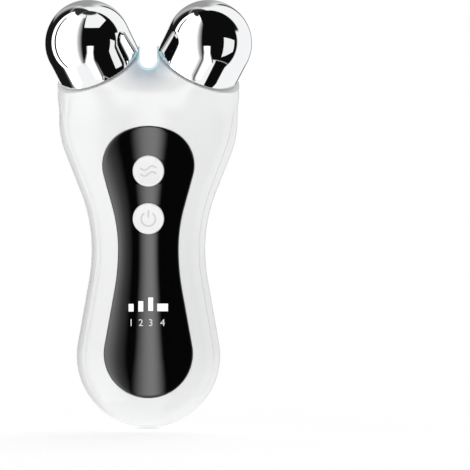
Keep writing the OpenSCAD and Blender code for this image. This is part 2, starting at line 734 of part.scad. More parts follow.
// A pan-headed screw along y, its head's flat side at head_y and its shank running the given way
module screw(at, r, head, thick, head_y, length, way) {
  post(at, r, way == FRONT ? head_y - length : head_y - 0.01, way == FRONT ? head_y + 0.01 : head_y + length);
  difference() {
    post(at, head, way == FRONT ? head_y : head_y - thick, way == FRONT ? head_y + thick : head_y);
    for (a = [0, 90]) facing_back(at[0], way == FRONT ? head_y + thick : head_y - thick, at[1]) rotate(a)
      cube([head * 1.1, 0.35, 0.9], center = true);
  }
}

module board_screws() {
  color("silver") place() for (at = board_screws_at)
    screw(at, small_screw_r, small_head_r, small_head_t, board_back_y, board_t + small_screw_in, FRONT);
}

module pulse_transformer() {
  core_z = 92.5;
  core_h = 3.6;
  color([0.25, 0.22, 0.2]) place() {
    block([-4.5, board_back_y, core_z - 4.5], [4.5, board_back_y + 0.8, core_z + 4.5]);
    facing_back(0, board_back_y + 0.8 - seat_gap, core_z) rotate_extrude() polygon([
      [0, 0], [4.2, 0], [4.2, 0.6], [3.6, 0.6], [3.6, core_h - 0.6], [4.2, core_h - 0.6], [4.2, core_h], [0, core_h]
    ]);
  }
}

module controller_chip() {
  chip_z = 54;
  chip_w = 7;
  chip_t = 1.2;
  pitch = 0.8;
  color([0.1, 0.1, 0.1]) place() {
    block([-chip_w / 2, board_front_y - chip_t, chip_z - chip_w / 2],
          [chip_w / 2, board_front_y - 0.1, chip_z + chip_w / 2]);
    for (side = [LEFT, RIGHT], k = [-3 : 3]) {
      translate([side * (chip_w / 2 + 0.4), board_front_y - 0.15, chip_z + k * pitch])
        cube([1, 0.3, 0.35], center = true);
      translate([k * pitch, board_front_y - 0.15, chip_z + side * (chip_w / 2 + 0.4)])
        cube([0.35, 0.3, 1], center = true);
    }
  }
}

module battery() {
  corner = 1.5;
  color([0.75, 0.77, 0.8]) place()
    translate([0, battery_back_y - battery_t / 2, battery_low_z]) linear_extrude(battery_l) {
      square([battery_w - 2 * corner, battery_t], center = true);
      square([battery_w, battery_t - 2 * corner], center = true);
      for (x = [-1, 1], y = [-1, 1])
        translate([x * (battery_w / 2 - corner), y * (battery_t / 2 - corner)]) circle(corner);
    }
}

module battery_tape() {
  color([0.3, 0.3, 0.3]) place()
    block([-battery_w / 2 + 2, battery_back_y, battery_low_z + 3],
          [battery_w / 2 - 2, battery_back_y + tape_t, battery_low_z + battery_l - 3]);
}

module battery_tabs() {
  tab_t = 0.25;
  tab_half_w = 1.5;
  top = battery_low_z + battery_l;
  mid = battery_back_y - battery_t / 2;
  color("silver") place() for (side = [LEFT, RIGHT]) {
    block([side * 5 - tab_half_w, mid, top], [side * 5 + tab_half_w, mid + tab_t, top + 2]);
    block([side * 5 - tab_half_w, board_back_y, top + 2 - tab_t], [side * 5 + tab_half_w, mid + tab_t, top + 2]);
  }
}

port_wall = 0.3;
module charging_port() {
  color("silver") place() translate([0, port_y, port_low_z]) difference() {
    linear_extrude(port_l) round_slot(port_w, port_t);
    translate([0, 0, -1]) linear_extrude(port_l + 2) round_slot(port_w - 2 * port_wall, port_t - 2 * port_wall);
  }
}

module charging_port_tongue() {
  base = 1.7;
  tongue_half_w = (port_w - 2 * port_wall) / 2 - 0.82;
  inner = port_wall + seat_gap;
  color([0.1, 0.1, 0.1]) place() translate([0, port_y, port_low_z]) {
    translate([0, 0, port_l - base]) linear_extrude(base) round_slot(port_w - 2 * inner, port_t - 2 * inner);
    block([-tongue_half_w, -0.35, 1], [tongue_half_w, 0.35, port_l - base + 0.1]);
  }
}

// ---- Yoke, shafts and rollers ----

module roller_yoke() {
  color([0.85, 0.85, 0.87]) place() difference() {
    union() {
      for (side = [LEFT, RIGHT]) on_axis(side) {
        translate([0, 0, -disc_t - roller_gap]) cylinder(h = disc_t, r = disc_r);
        translate([0, 0, -root_len]) cylinder(h = root_len - roller_gap, r = yoke_boss_r);
      }
      block([-plate_half_w, plate_front_y, plate_low_z], [plate_half_w, plate_front_y + plate_t, plate_high_z]);
    }
    for (side = [LEFT, RIGHT]) on_axis(side)
      translate([0, 0, -2 * root_len]) cylinder(h = 3 * root_len, r = root_r + seat_gap);
    for (at = yoke_screws_at) post(at, small_screw_r + 0.1, plate_front_y - plate_t, plate_front_y + 2 * plate_t);
  }
}

module yoke_screws() {
  color("silver") place() for (at = yoke_screws_at)
    screw(at, small_screw_r, small_head_r, small_head_t, plate_front_y, plate_t + small_screw_in, BACK);
}

shoulder_seat_r = 4.6;
shoulder_top = 0.9;
bush_l = 4;
bush_flange_r = 5.4;
bush_flange_t = 0.6;
thrust_gap = 0.1;
inner_bush_at = shoulder_top + thrust_gap;
outer_bush_end = inner_bush_at + 13.5;
clip_t = 0.5;
clip_groove_r = 2.3;
core_front = 3.4;
core_tube_r = 7;
core_setback = 0.55;
lip = 0.4;

// The hollow bullet-shaped shell, from its mouth over the barrel to the round tip
module roller_shell(side) {
  inner_r = roller_r - roller_wall;
  color([0.8, 0.8, 0.82]) place() on_axis(side) rotate_extrude() polygon(concat(
    [[roller_r - lip, roller_gap]],
    [for (a = [30 : 30 : 90]) [roller_r - lip + lip * sin(a), roller_gap + lip - lip * cos(a)]],
    [for (a = [0 : 5 : 90]) [roller_r * cos(a), reach + roller_r * sin(a)]],
    [for (a = [90 : -5 : 0]) [inner_r * cos(a), reach + inner_r * sin(a)]],
    [[inner_r, roller_gap]]
  ));
}

module roller_core(side) {
  seat = bush_r + seat_gap;
  flange_seat = bush_flange_r + seat_gap;
  low = roller_gap + core_setback;
  flange_low = inner_bush_at + bush_flange_t;
  color([0.9, 0.9, 0.9]) place() on_axis(side) difference() {
    union() {
      translate([0, 0, low]) cylinder(h = core_front - low, r = roller_r - roller_wall - seat_gap);
      translate([0, 0, low]) cylinder(h = outer_bush_end - bush_flange_t - low, r = core_tube_r);
    }
    translate([0, 0, low - 1]) cylinder(h = flange_low - low + 1, r = flange_seat);
    translate([0, 0, low]) cylinder(h = inner_bush_at + bush_flange_t + bush_l - low, r = seat);
    translate([0, 0, low]) cylinder(h = 30, r = spindle_r + 0.5);
    translate([0, 0, outer_bush_end - bush_flange_t - bush_l]) cylinder(h = bush_l + 2, r = seat);
  }
}

// A flanged bush whose flange faces the nearer end of the spindle
module bush(side, at, turned) {
  color([0.8, 0.65, 0.35]) place() on_axis(side) translate([0, 0, at]) mirror([0, 0, turned ? 1 : 0]) difference() {
    union() {
      cylinder(h = bush_flange_t, r = bush_flange_r);
      cylinder(h = bush_flange_t + bush_l, r = bush_r);
    }
    translate([0, 0, -1]) cylinder(h = bush_l + 4, r = spindle_r + spindle_play);
  }
}

module shaft(side) {
  clip_from = outer_bush_end + thrust_gap;
  tip = clip_from + clip_t + 1.2;
  color("silver") place() on_axis(side) rotate_extrude() polygon([
    [0, -root_len], [root_r - 0.4, -root_len], [root_r, -root_len + 0.4], [root_r, -roller_gap],
    [shoulder_seat_r, -roller_gap], [shoulder_seat_r, shoulder_top], [spindle_r, shoulder_top],
    [spindle_r, clip_from], [clip_groove_r, clip_from], [clip_groove_r, clip_from + clip_t + 0.1],
    [spindle_r, clip_from + clip_t + 0.1], [spindle_r, tip - 0.5], [spindle_r - 0.5, tip], [0, tip]
  ]);
}

module shaft_clip(side) {
  open = 80;
  color([0.35, 0.35, 0.37]) place() on_axis(side)
    translate([0, 0, outer_bush_end + thrust_gap + 0.05]) rotate(open / 2 - 90) rotate_extrude(angle = 360 - open)
      translate([clip_groove_r + 0.03, 0]) square([2.4, clip_t - 0.05]);
}

module seal_ring(side) {
  ring_r = 0.4;
  color([0.1, 0.1, 0.1]) place() on_axis(side) rotate_extrude()
    translate([shoulder_seat_r + ring_r + seat_gap, -roller_gap + ring_r]) circle(ring_r);
}

// The strip that brings the current from the board to a shaft's root
module contact_spring(side) {
  strip_t = 0.3;
  strip_half_w = 1.2;
  foot_x = 5.2;
  foot_z = 102.4;
  tip_r = 2.2;
  color([0.85, 0.7, 0.35]) place() {
    block([side * foot_x - strip_half_w, board_back_y, foot_z - 1.6],
          [side * foot_x + strip_half_w, board_back_y + strip_t, foot_z + 1]);
    hull() {
      block([side * foot_x - strip_half_w, board_back_y, foot_z + 0.9],
            [side * foot_x + strip_half_w, board_back_y + strip_t, foot_z + 1]);
      on_axis(side) translate([0, 0, -root_len - strip_t]) cylinder(h = strip_t, r = strip_half_w, $fn = 16);
    }
    on_axis(side) translate([0, 0, -root_len - strip_t]) cylinder(h = strip_t, r = tip_r);
  }
}

module left_roller_shell() { roller_shell(LEFT); }
module right_roller_shell() { roller_shell(RIGHT); }
module left_roller_core() { roller_core(LEFT); }
module right_roller_core() { roller_core(RIGHT); }
module left_inner_bush() { bush(LEFT, inner_bush_at, false); }
module right_inner_bush() { bush(RIGHT, inner_bush_at, false); }
module left_outer_bush() { bush(LEFT, outer_bush_end, true); }
module right_outer_bush() { bush(RIGHT, outer_bush_end, true); }
module left_shaft() { shaft(LEFT); }
module right_shaft() { shaft(RIGHT); }
module left_shaft_clip() { shaft_clip(LEFT); }
module right_shaft_clip() { shaft_clip(RIGHT); }
module left_seal_ring() { seal_ring(LEFT); }
module right_seal_ring() { seal_ring(RIGHT); }
module left_contact_spring() { contact_spring(LEFT); }
module right_contact_spring() { contact_spring(RIGHT); }

// ---- Fasteners of the housing ----

module housing_screws() {
  color("silver") place() for (at = housing_screws_at) {
    post(at, screw_r, meet_y - pilot_depth + 0.5, head_seat_y + 0.1);
    difference() {
      post(at, head_r, head_seat_y, head_seat_y + head_t);
      for (a = [0, 90]) facing_back(at[0], head_seat_y + head_t, at[1]) rotate(a)
        cube([head_r * 1.1, 0.4, 1.2], center = true);
    }
  }
}

module screw_plugs() {
  plug_r = head_r + 0.17;
  color([0.95, 0.95, 0.95]) place() for (at = housing_screws_at)
    post(at, plug_r, head_seat_y + head_t + 0.1, boss_end(at, plug_r, BACK, back_wall, back_wall - 0.1));
}

front_housing();
back_housing();
front_panel();
panel_adhesive();
mode_button();
power_button();
mode_switch();
power_switch();
mode_switch_plunger();
power_switch_plunger();
level_light_guide();
level_leds();
notch_light_guide();
notch_led();
main_board();
board_screws();
pulse_transformer();
controller_chip();
battery();
battery_tape();
battery_tabs();
charging_port();
charging_port_tongue();
roller_yoke();
yoke_screws();
left_roller_shell();
right_roller_shell();
left_roller_core();
right_roller_core();
left_inner_bush();
right_inner_bush();
left_outer_bush();
right_outer_bush();
left_shaft();
right_shaft();
left_shaft_clip();
right_shaft_clip();
left_seal_ring();
right_seal_ring();
left_contact_spring();
right_contact_spring();
housing_screws();
screw_plugs();
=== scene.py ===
"""Two-roller facial toning device, dressed over its CAD frame.

Shapes are worked out in millimetres from the handle's middle plane, as in the part's source, and
put() moves them to the frame: metres, +Z up the handle, the button face towards -Y.
"""

import json
import math

import bmesh
import bpy
import numpy as np
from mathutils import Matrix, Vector


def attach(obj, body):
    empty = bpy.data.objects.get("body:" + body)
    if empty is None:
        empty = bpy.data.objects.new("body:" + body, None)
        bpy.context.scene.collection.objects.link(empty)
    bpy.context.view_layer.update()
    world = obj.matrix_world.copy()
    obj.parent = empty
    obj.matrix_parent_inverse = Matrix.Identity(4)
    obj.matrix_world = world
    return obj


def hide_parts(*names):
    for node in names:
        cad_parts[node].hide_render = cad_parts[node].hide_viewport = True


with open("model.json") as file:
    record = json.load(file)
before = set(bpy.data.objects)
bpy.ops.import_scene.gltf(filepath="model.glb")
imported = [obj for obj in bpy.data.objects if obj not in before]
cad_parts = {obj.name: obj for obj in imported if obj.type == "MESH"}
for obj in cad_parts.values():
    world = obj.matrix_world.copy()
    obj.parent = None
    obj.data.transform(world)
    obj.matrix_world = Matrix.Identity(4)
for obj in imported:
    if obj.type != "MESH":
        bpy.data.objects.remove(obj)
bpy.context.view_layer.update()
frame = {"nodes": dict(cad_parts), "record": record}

MM = 0.001
MID = 4.85  # depth of the handle's middle plane in the frame
FRONT, BACK = -1, 1

# ---- Handle: the same distance field as in the source ----

SEAM = -7.7
CEILING = 113.8
ROLLER_R, REACH, RIM_R = 14.2, 8.9, 14.6
LEAN, SPREAD = math.radians(27.5), math.radians(27)
AXIS = np.array([math.sin(SPREAD) * math.cos(LEAN), -math.sin(LEAN), math.cos(SPREAD) * math.cos(LEAN)])
RIM = np.array([19.6, -10.1, 125.8]) - REACH * AXIS
FOOT_R, WAIST_Z, BLEND_Z = 23.7, 58.8, 92
SHOULDER_W, SHOULDER_Z, CROWN_Z, CROWN_H = 29.4, 101, 108, 10.5
BODY = ((FOOT_R, 0, FOOT_R), (18.8, WAIST_Z, 60, 51), (30, -0.6, SHOULDER_Z))
PANEL = ((14.4, 0, 24.9), (9.75, WAIST_Z, 76, 51), (12, 2.9, 86))
PANEL_LOW, PANEL_HIGH = 10.5, 98.6
MODE_Z, POWER_Z = 84.1, 68.7
POWER = 2.3  # of the superellipse that every section follows


def half_width(z, foot, waist, head):
    """Half width at height z of a round foot and a round head joined to a hollow waist.

    Each straight stretch touches an end's arc (r, x, z) and a waist's arc (half width, z, r below,
    r above), so its lean is atan2(rise, run) of the centres minus acos(sum of radii / distance).
    """

    def lean(dx, dz, radii):
        return math.atan2(dz, dx) - math.acos(radii / math.hypot(dx, dz))

    low = lean(waist[0] + waist[2] - foot[1], waist[1] - foot[2], waist[2] + foot[0])
    high = lean(waist[0] + waist[3] - head[1], head[2] - waist[1], waist[3] + head[0])
    foot_end = foot[2] + foot[0] * math.sin(low)
    head_start = head[2] - head[0] * math.sin(high)

    def arc(r, z0):
        return np.sqrt(np.maximum(0, r**2 - (z - z0) ** 2))

    tests = [
        z < foot_end,
        z < waist[1] - waist[2] * math.sin(low),
        z < waist[1],
        z < waist[1] + waist[3] * math.sin(high),
        z < head_start,
    ]
    values = [
        foot[1] + arc(foot[0], foot[2]),
        foot[1] + foot[0] * math.cos(low) - (z - foot_end) * math.tan(low),
        waist[0] + waist[2] - arc(waist[2], waist[1]),
        waist[0] + waist[3] - arc(waist[3], waist[1]),
        head[1] + head[0] * math.cos(high) - (head_start - z) * math.tan(high),
    ]
    return np.select(tests, values, head[1] + arc(head[0], head[2]))


def between(a, b, t):
    """a to b along 3c^2 - 2c^3, with c = t held between 0 and 1."""
    c = np.clip(t, 0, 1)
    return a + (b - a) * c * c * (3 - 2 * c)


def soft_min(a, b, k):
    """The lesser of a and b, rounded by h^2 k / 4 where they are within k, h = 1 - |a - b| / k."""
    h = np.maximum(k - np.abs(a - b), 0) / k
    return np.minimum(a, b) - h * h * k / 4


def middle_y(z):
    """Depth of a section's middle, which comes forward by 4 mm over the head."""
    return -between(0, 4, (z - 90) / 30)


def section_half_w(z):
    """Half width of the section at height z: the foot's own below its middle, the shoulder's above."""
    return np.where(z > SHOULDER_Z, SHOULDER_W, half_width(np.maximum(z, FOOT_R), *BODY))


def body_field(p):
    """Distance from the handle: a superellipse section of the outline's half width and the depth
    at that height, closed by ellipses at the foot and the crown, over the length of its slope."""
    x, y, z = p[..., 0], p[..., 1], p[..., 2]
    w = section_half_w(z)
    h = np.where(z < FOOT_R, FOOT_R, CROWN_H)
    rise = np.where(z < FOOT_R, FOOT_R - z, np.maximum(0, z - CROWN_Z))
    y = y - middle_y(z)
    low, high = (z - 24) / 34.8, (z - WAIST_Z) / 37.2
    ahead = np.where(z < WAIST_Z, between(15, 14.2, low), between(14.2, 15.4, high))
    behind = np.where(z < WAIST_Z, between(15, 12.8, low), between(12.8, 15, high))
    d = np.where(y < 0, ahead, behind)
    across = np.maximum(np.hypot(x / w, rise / h), 1e-6)
    deep = np.abs(y) / d
    size = (across**POWER + deep**POWER) ** (1 / POWER)
    steep = np.maximum(np.hypot(x / w**2, rise / h**2) / across, 1 / w)
    slope = np.hypot((across / size) ** (POWER - 1) * steep, (deep / size) ** (POWER - 1) / d)
    return (size - 1) / slope


def stub_field(p, side):
    """Distance from a round stub of the rim's radius about a roller's axis, its lower edge rounded."""
    q = p * np.array([side, 1, 1]) - RIM
    s = q @ AXIS
    a = np.linalg.norm(q - s[..., None] * AXIS, axis=-1) - RIM_R + 9
    b = -s - 14 + 9
    return np.hypot(np.maximum(a, 0), np.maximum(b, 0)) + np.minimum(np.maximum(a, b), 0) - 9


def hub_field(p):
    """Distance from the leaning rounded block that fills the fork."""
    x, y, z = p[..., 0], p[..., 1], p[..., 2]
    y = y + 4 + (z - RIM[2]) * math.tan(math.radians(24))
    a = np.stack([np.abs(x) - 1.6, np.abs(y) - 4.5, 106 - z], axis=-1)
    return np.linalg.norm(np.maximum(a, 0), axis=-1) + np.minimum(a.max(axis=-1), 0) - 3


def field(p):
    """Distance from the handle's outside: body, stubs and hub melted together above BLEND_Z."""
    body = body_field(p)
    stubs = soft_min(stub_field(p, 1), stub_field(p, -1), 5)
    return np.where(p[..., 2] < BLEND_Z, body, soft_min(soft_min(body, stubs, 5), hub_field(p), 5))


def reach_out(start, way, level=0.0):
    """Points where rays from start along the unit vectors way meet the field's level, by halving."""
    low, high = np.zeros(start.shape[:-1]), np.full(start.shape[:-1], 48.0)
    for _ in range(26):
        m = (low + high) / 2
        inside = field(start + m[..., None] * way) < level
        low, high = np.where(inside, m, low), np.where(inside, high, m)
    return start + ((low + high) / 2)[..., None] * way


def surface_y(x, z, side=FRONT, level=0.0):
    """Depth of the handle's outside in front of or behind the points x, z."""
    x, z = np.broadcast_arrays(np.asarray(x, float), np.asarray(z, float))
    start = np.stack([x, np.zeros_like(x), z], axis=-1)
    return reach_out(start, np.array([0.0, side, 0.0]) + np.zeros_like(start), level)[..., 1]


def gradient(p):
    """Unit slope of the field by central differences of 0.02 mm."""
    step = 0.02 * np.eye(3)
    g = np.stack([field(p + d) - field(p - d) for d in step], axis=-1)
    return g / np.maximum(np.linalg.norm(g, axis=-1, keepdims=True), 1e-9)


# ---- Meshes ----


def grid_faces(rows, cols, first=0, flip=False, closed=False):
    """Four-sided faces between neighbouring points of a rows by cols grid."""
    i, j = np.meshgrid(np.arange(rows - 1), np.arange(cols if closed else cols - 1), indexing="ij")
    k = (j + 1) % cols
    f = np.stack([i * cols + j, i * cols + k, (i + 1) * cols + k, (i + 1) * cols + j], axis=-1).reshape(-1, 4)
    return (f[:, ::-1] if flip else f) + first


def put(name, points, faces, smooth=True, merge=1e-7):
    """A mesh object from points in mm and faces, its doubles merged and its faces turned outward."""
    p = np.asarray(points, float).reshape(-1, 3) + [0, MID, 0]
    mesh = bpy.data.meshes.new(name)
    mesh.from_pydata((p * MM).tolist(), [], [list(f) for f in faces])
    b = bmesh.new()
    b.from_mesh(mesh)
    bmesh.ops.remove_doubles(b, verts=b.verts, dist=merge)
    bmesh.ops.dissolve_degenerate(b, edges=b.edges, dist=merge)
    bmesh.ops.recalc_face_normals(b, faces=b.faces)
    b.to_mesh(mesh)
    b.free()
    mesh.polygons.foreach_set("use_smooth", np.full(len(mesh.polygons), smooth))
    o = bpy.data.objects.new(name, mesh)
    bpy.context.scene.collection.objects.link(o)
    return o


def on_axis(side, points):
    """Points given about a roller's axis, z from the rim, put in the handle's frame."""
    up = AXIS
    right = np.array([math.cos(SPREAD), 0.0, -math.sin(SPREAD)])
    turned = np.stack([right, np.cross(up, right), up])
    return (np.asarray(points) @ turned + RIM) * np.array([side, 1, 1])


def lathe(profile, turns):
    """Grid of points that carries a profile of (radius, height) round the z axis."""
    t = np.arange(turns) * 2 * math.pi / turns
    r, z = np.asarray(profile, float).T
    return np.stack([r[:, None] * np.cos(t), r[:, None] * np.sin(t), z[:, None] + 0 * t], axis=-1)


def closed_lathe(name, side, profile, turns=64, smooth=True):
    """A turned solid about a roller's axis: its profile starts and ends on the axis or at itself."""
    g = lathe(profile, turns)
    return put(name, on_axis(side, g).reshape(-1, 3), grid_faces(len(g), turns, closed=True), smooth)


def extruded(name, outline, low, high):
    """A prism along y between two depths over an outline of (x, z) points."""
    o = np.asarray(outline, float)
    n = len(o)
    ends = [np.stack([o[:, 0], np.full(n, y), o[:, 1]], axis=-1) for y in (low, high)]
    sides = [(i, (i + 1) % n, n + (i + 1) % n, n + i) for i in range(n)]
    return put(name, np.concatenate(ends), [*sides, range(n), range(n, 2 * n)], smooth=False)


def circle(x, z, r, n=96):
    t = np.arange(n) * 2 * math.pi / n
    return np.stack([x + r * np.cos(t), z + r * np.sin(t)], axis=-1)


def carve(obj, cutters):
    """Takes the cutters out of obj for good, then removes them."""
    for c in cutters:
        m = obj.modifiers.new(c.name, "BOOLEAN")
        m.operation, m.solver, m.object = "DIFFERENCE", "EXACT", c
    dg = bpy.context.evaluated_depsgraph_get()
    mesh = bpy.data.meshes.new_from_object(obj.evaluated_get(dg))
    obj.modifiers.clear()
    obj.data = mesh
    for c in cutters:
        bpy.data.objects.remove(c)


def polish(obj):
    """Loop normals of a carved shell: the field's slope where a corner lies on the handle's outside
    and its face looks that way, and the face's own normal everywhere else."""
    mesh = obj.data
    co = np.empty(len(mesh.vertices) * 3)
    mesh.vertices.foreach_get("co", co)
    p = co.reshape(-1, 3) / MM - [0, MID, 0]
    loops = np.empty(len(mesh.loops), np.int32)
    mesh.loops.foreach_get("vertex_index", loops)
    total = np.empty(len(mesh.polygons), np.int32)
    mesh.polygons.foreach_get("loop_total", total)
    own = np.empty(len(mesh.polygons) * 3)
    mesh.polygons.foreach_get("normal", own)
    normals = np.repeat(own.reshape(-1, 3), total, axis=0)
    slope = gradient(p)[loops]
    outside = (np.abs(field(p))[loops] < 0.05) & ((normals * slope).sum(axis=-1) > 0.75)
    normals[outside] = slope[outside]
    mesh.polygons.foreach_set("use_smooth", np.ones(len(mesh.polygons), bool))
    mesh.normals_split_custom_set(normals.tolist())


# ---- Housing ----

COLS = 96
FAN, LOW_ROWS, MID_ROWS, TOP_ROWS = 16, 55, 29, 34
HEIGHTS = np.concatenate([
    np.linspace(FOOT_R, BLEND_Z, LOW_ROWS + 1)[:-1],
    np.linspace(BLEND_Z, CEILING, MID_ROWS + 1)[:-1],
    np.linspace(CEILING, 130, TOP_ROWS),
])
CEILING_ROW = FAN + LOW_ROWS + MID_ROWS


def shell_rays(side):
    """Starts and ways of the rays that find a half's outside. Rows rise up the handle; the first
    ones fan out below the foot. Columns turn from seam to seam, closer together near the seams."""
    turn = np.concatenate([np.radians(90) * (1 - np.arange(FAN) / FAN), np.zeros(len(HEIGHTS))])
    height = np.concatenate([np.full(FAN, FOOT_R), HEIGHTS])
    t = np.linspace(0, 1, COLS + 1)
    a = math.pi * (t - 0.75 * np.sin(2 * math.pi * t) / (2 * math.pi))
    deep = 7.5 if side == FRONT else 22.7
    squash = 1 / np.hypot(np.cos(turn) / deep, np.sin(turn) / FOOT_R) / section_half_w(height)
    out = np.stack([0 * turn, side * np.cos(turn), -np.sin(turn)], axis=-1)
    across = np.cos(a)[None, :, None] * np.array([-side, 0, 0])
    way = across + np.sin(a)[None, :, None] * (squash[:, None] * out)[:, None]
    way /= np.linalg.norm(way, axis=-1, keepdims=True)
    start = np.stack([0 * height, np.full(len(height), SEAM), height], axis=-1)[:, None] + 0 * way
    return start, way


def groove(p, side):
    """Sinks the outside by up to 0.25 mm within 0.4 mm of the seam, along the field's slope."""
    near = np.clip(1 - np.abs(p[..., 1] - SEAM) / 0.4, 0, 1)
    sunk = p - (0.25 * near**2)[..., None] * gradient(p)
    sunk[..., 1] = np.where(near >= 1, SEAM, sunk[..., 1])
    return sunk


def housing_half(name, side, wall):
    """A closed shell: the outside, the lining wall mm under it up to the ceiling, and the flat seam."""
    start, way = shell_rays(side)
    rows, n = start.shape[0], COLS + 1
    outer = groove(reach_out(start, way), side)
    outer[:FAN, [0, -1]] = outer[FAN, [0, -1]]
    inner = reach_out(start[: CEILING_ROW + 1], way[: CEILING_ROW + 1], -wall)
    inner[:FAN, [0, -1]] = inner[FAN, [0, -1]]
    middle = start[CEILING_ROW:, 0]
    k = rows * n
    m = k + (CEILING_ROW + 1) * n
    c = CEILING_ROW
    faces = [*grid_faces(rows, n), *grid_faces(c + 1, n, k, flip=True)]
    faces += [(j + 1, j, k + j, k + j + 1) for j in range(COLS)]
    for j, turn in ((0, 1), (COLS, -1)):
        for i in range(FAN, c):
            faces.append((i * n + j, (i + 1) * n + j, k + (i + 1) * n + j, k + i * n + j)[::turn])
        for i in range(c, rows - 1):
            faces.append((i * n + j, (i + 1) * n + j, m + i + 1 - c, m + i - c)[::turn])
        faces.append((c * n + j, m, k + c * n + j)[::turn])
    faces += [(m, k + c * n + j + 1, k + c * n + j) for j in range(COLS)]
    faces += [(m + rows - 1 - c, (rows - 1) * n + j, (rows - 1) * n + j + 1) for j in range(COLS)]
    points = np.concatenate([outer.reshape(-1, 3), inner.reshape(-1, 3), middle])
    return put(name, points, faces)


def head_cutters():
    """What the head loses past the roller seats, for the yoke, and along the notch."""
    cutters = []
    for side in (-1, 1):
        square = [[-30, -30], [30, -30], [30, 30], [-30, 30]]
        box = np.array([[x, y, z] for z in (0, 60) for x, y in square])
        faces = [(3, 2, 1, 0), (4, 5, 6, 7), *[(i, (i + 1) % 4, 4 + (i + 1) % 4, 4 + i) for i in range(4)]]
        cutters.append(put("past_rim", on_axis(side, box), faces, smooth=False))
        cutters.append(closed_lathe("seat_bore", side, [(0, -3.05), (11, -3.05), (11, 6.95), (0, 6.95)], 96))
        cutters.append(closed_lathe("boss_bore", side, [(0, -13), (6.6, -13), (6.6, -1), (0, -1)], 64))
    r = 3.72
    low = [(r * math.cos(t), 120.3 + r * math.sin(t)) for t in np.linspace(math.pi, 2 * math.pi, 49)]
    wings = [(r, 125.2), (12, 129.84), (12, 146), (-12, 146), (-12, 129.84), (-r, 125.2)]
    cutters.append(extruded("slot", low + wings, -35, 25))
    return cutters


# ---- Panel: sheets that follow the housing's front inside the panel's outline ----


def panel_half_w(z):
    """The panel's outline: its top is one flatter arc that touches both corner arcs."""
    rise = PANEL_HIGH - 86
    r = (rise**2 + 2.9**2 - 12**2) / (2 * (rise - 12))
    z0 = PANEL_HIGH - r
    start = 86 + 12 * (86 - z0) / (r - 12)
    return np.where(z > start, np.sqrt(np.maximum(0, r * r - (z - z0) ** 2)), half_width(z, *PANEL))


def panel_outline(n=360):
    """n points along the closed outline, evenly spaced, from the foot round the right side."""
    t = (1 - np.cos(np.linspace(0, math.pi, 4001))) / 2
    z = PANEL_LOW + (PANEL_HIGH - PANEL_LOW) * t
    side = np.stack([panel_half_w(z), z], axis=-1)
    side[[0, -1], 0] = 0
    run = np.concatenate([[0], np.cumsum(np.linalg.norm(np.diff(side, axis=0), axis=-1))])
    at = np.linspace(0, run[-1], n // 2 + 1)
    right = np.stack([np.interp(at, run, side[:, k]) for k in (0, 1)], axis=-1)
    left = right[-2:0:-1] * [-1, 1]
    return np.concatenate([right, left])


def panel_body(name, profile, outline=None):
    """A solid over the panel's outline. The profile is a list of (inset in mm, share of the way to
    the middle line, depth under the housing's front), and each of its rings follows that front."""
    o = panel_outline() if outline is None else outline
    along = np.roll(o, -1, axis=0) - np.roll(o, 1, axis=0)
    inward = np.stack([-along[:, 1], along[:, 0]], axis=-1)
    inward /= np.linalg.norm(inward, axis=-1, keepdims=True)
    spine = np.stack([0 * o[:, 0], np.clip(o[:, 1], PANEL_LOW + 13, PANEL_HIGH - 11)], axis=-1)
    rings = []
    for inset, share, depth in profile:
        p = (o + inset * inward) * (1 - share) + spine * share
        rings.append(np.stack([p[:, 0], surface_y(p[:, 0], p[:, 1]) + depth, p[:, 1]], axis=-1))
    return put(name, np.concatenate(rings), grid_faces(len(rings), len(o), closed=True))


SHARES = (1, 0.9, 0.75, 0.6, 0.45, 0.3, 0.18, 0.08)
BARS = (  # left, right, low and high edge of each level mark
    (-6.4, -4.8, 38.6, 41),
    (-3.25, -1.65, 38.6, 41.9),
    (-0.05, 1.55, 38.8, 43.1),
    (2.9, 6.35, 38.7, 41.1),
)


def front_openings(gap, hole_r=5.2):
    """Cutters for the two button holes and for the level marks' windows, gap mm round each mark."""
    holes = [extruded("hole", circle(0, z, hole_r), -32, -5) for z in (MODE_Z, POWER_Z)]
    for a, b, low, high in BARS:
        box = [(a - gap, low - gap), (b + gap, low - gap), (b + gap, high + gap), (a - gap, high + gap)]
        holes.append(extruded("window", box, -32, -5))
    return holes


def make_front_housing():
    """Front shell with its fork, the panel's pocket, 0.12 mm wider than the panel, and the openings."""
    o = housing_half("front_shell", FRONT, 2.6)
    floor = [(-0.12, s, 1.1) for s in SHARES] + [(-0.12, 0, 1.1)]
    lid = [(-0.12, 0, -6)] + [(-0.12, s, -6) for s in SHARES[::-1]]
    pocket = panel_body("pocket", floor + lid)
    carve(o, [*head_cutters(), pocket, *front_openings(0.1)])
    polish(o)
    return o


def round_slot(w, t, y):
    """Outline of a slot with round ends, lying across at depth y, seen from below."""
    a = np.linspace(-math.pi / 2, math.pi / 2, 17)
    right = np.stack([(w - t) / 2 + t / 2 * np.cos(a), y + t / 2 * np.sin(a)], axis=-1)
    return np.concatenate([right, (right * [-1, 1])[::-1]])


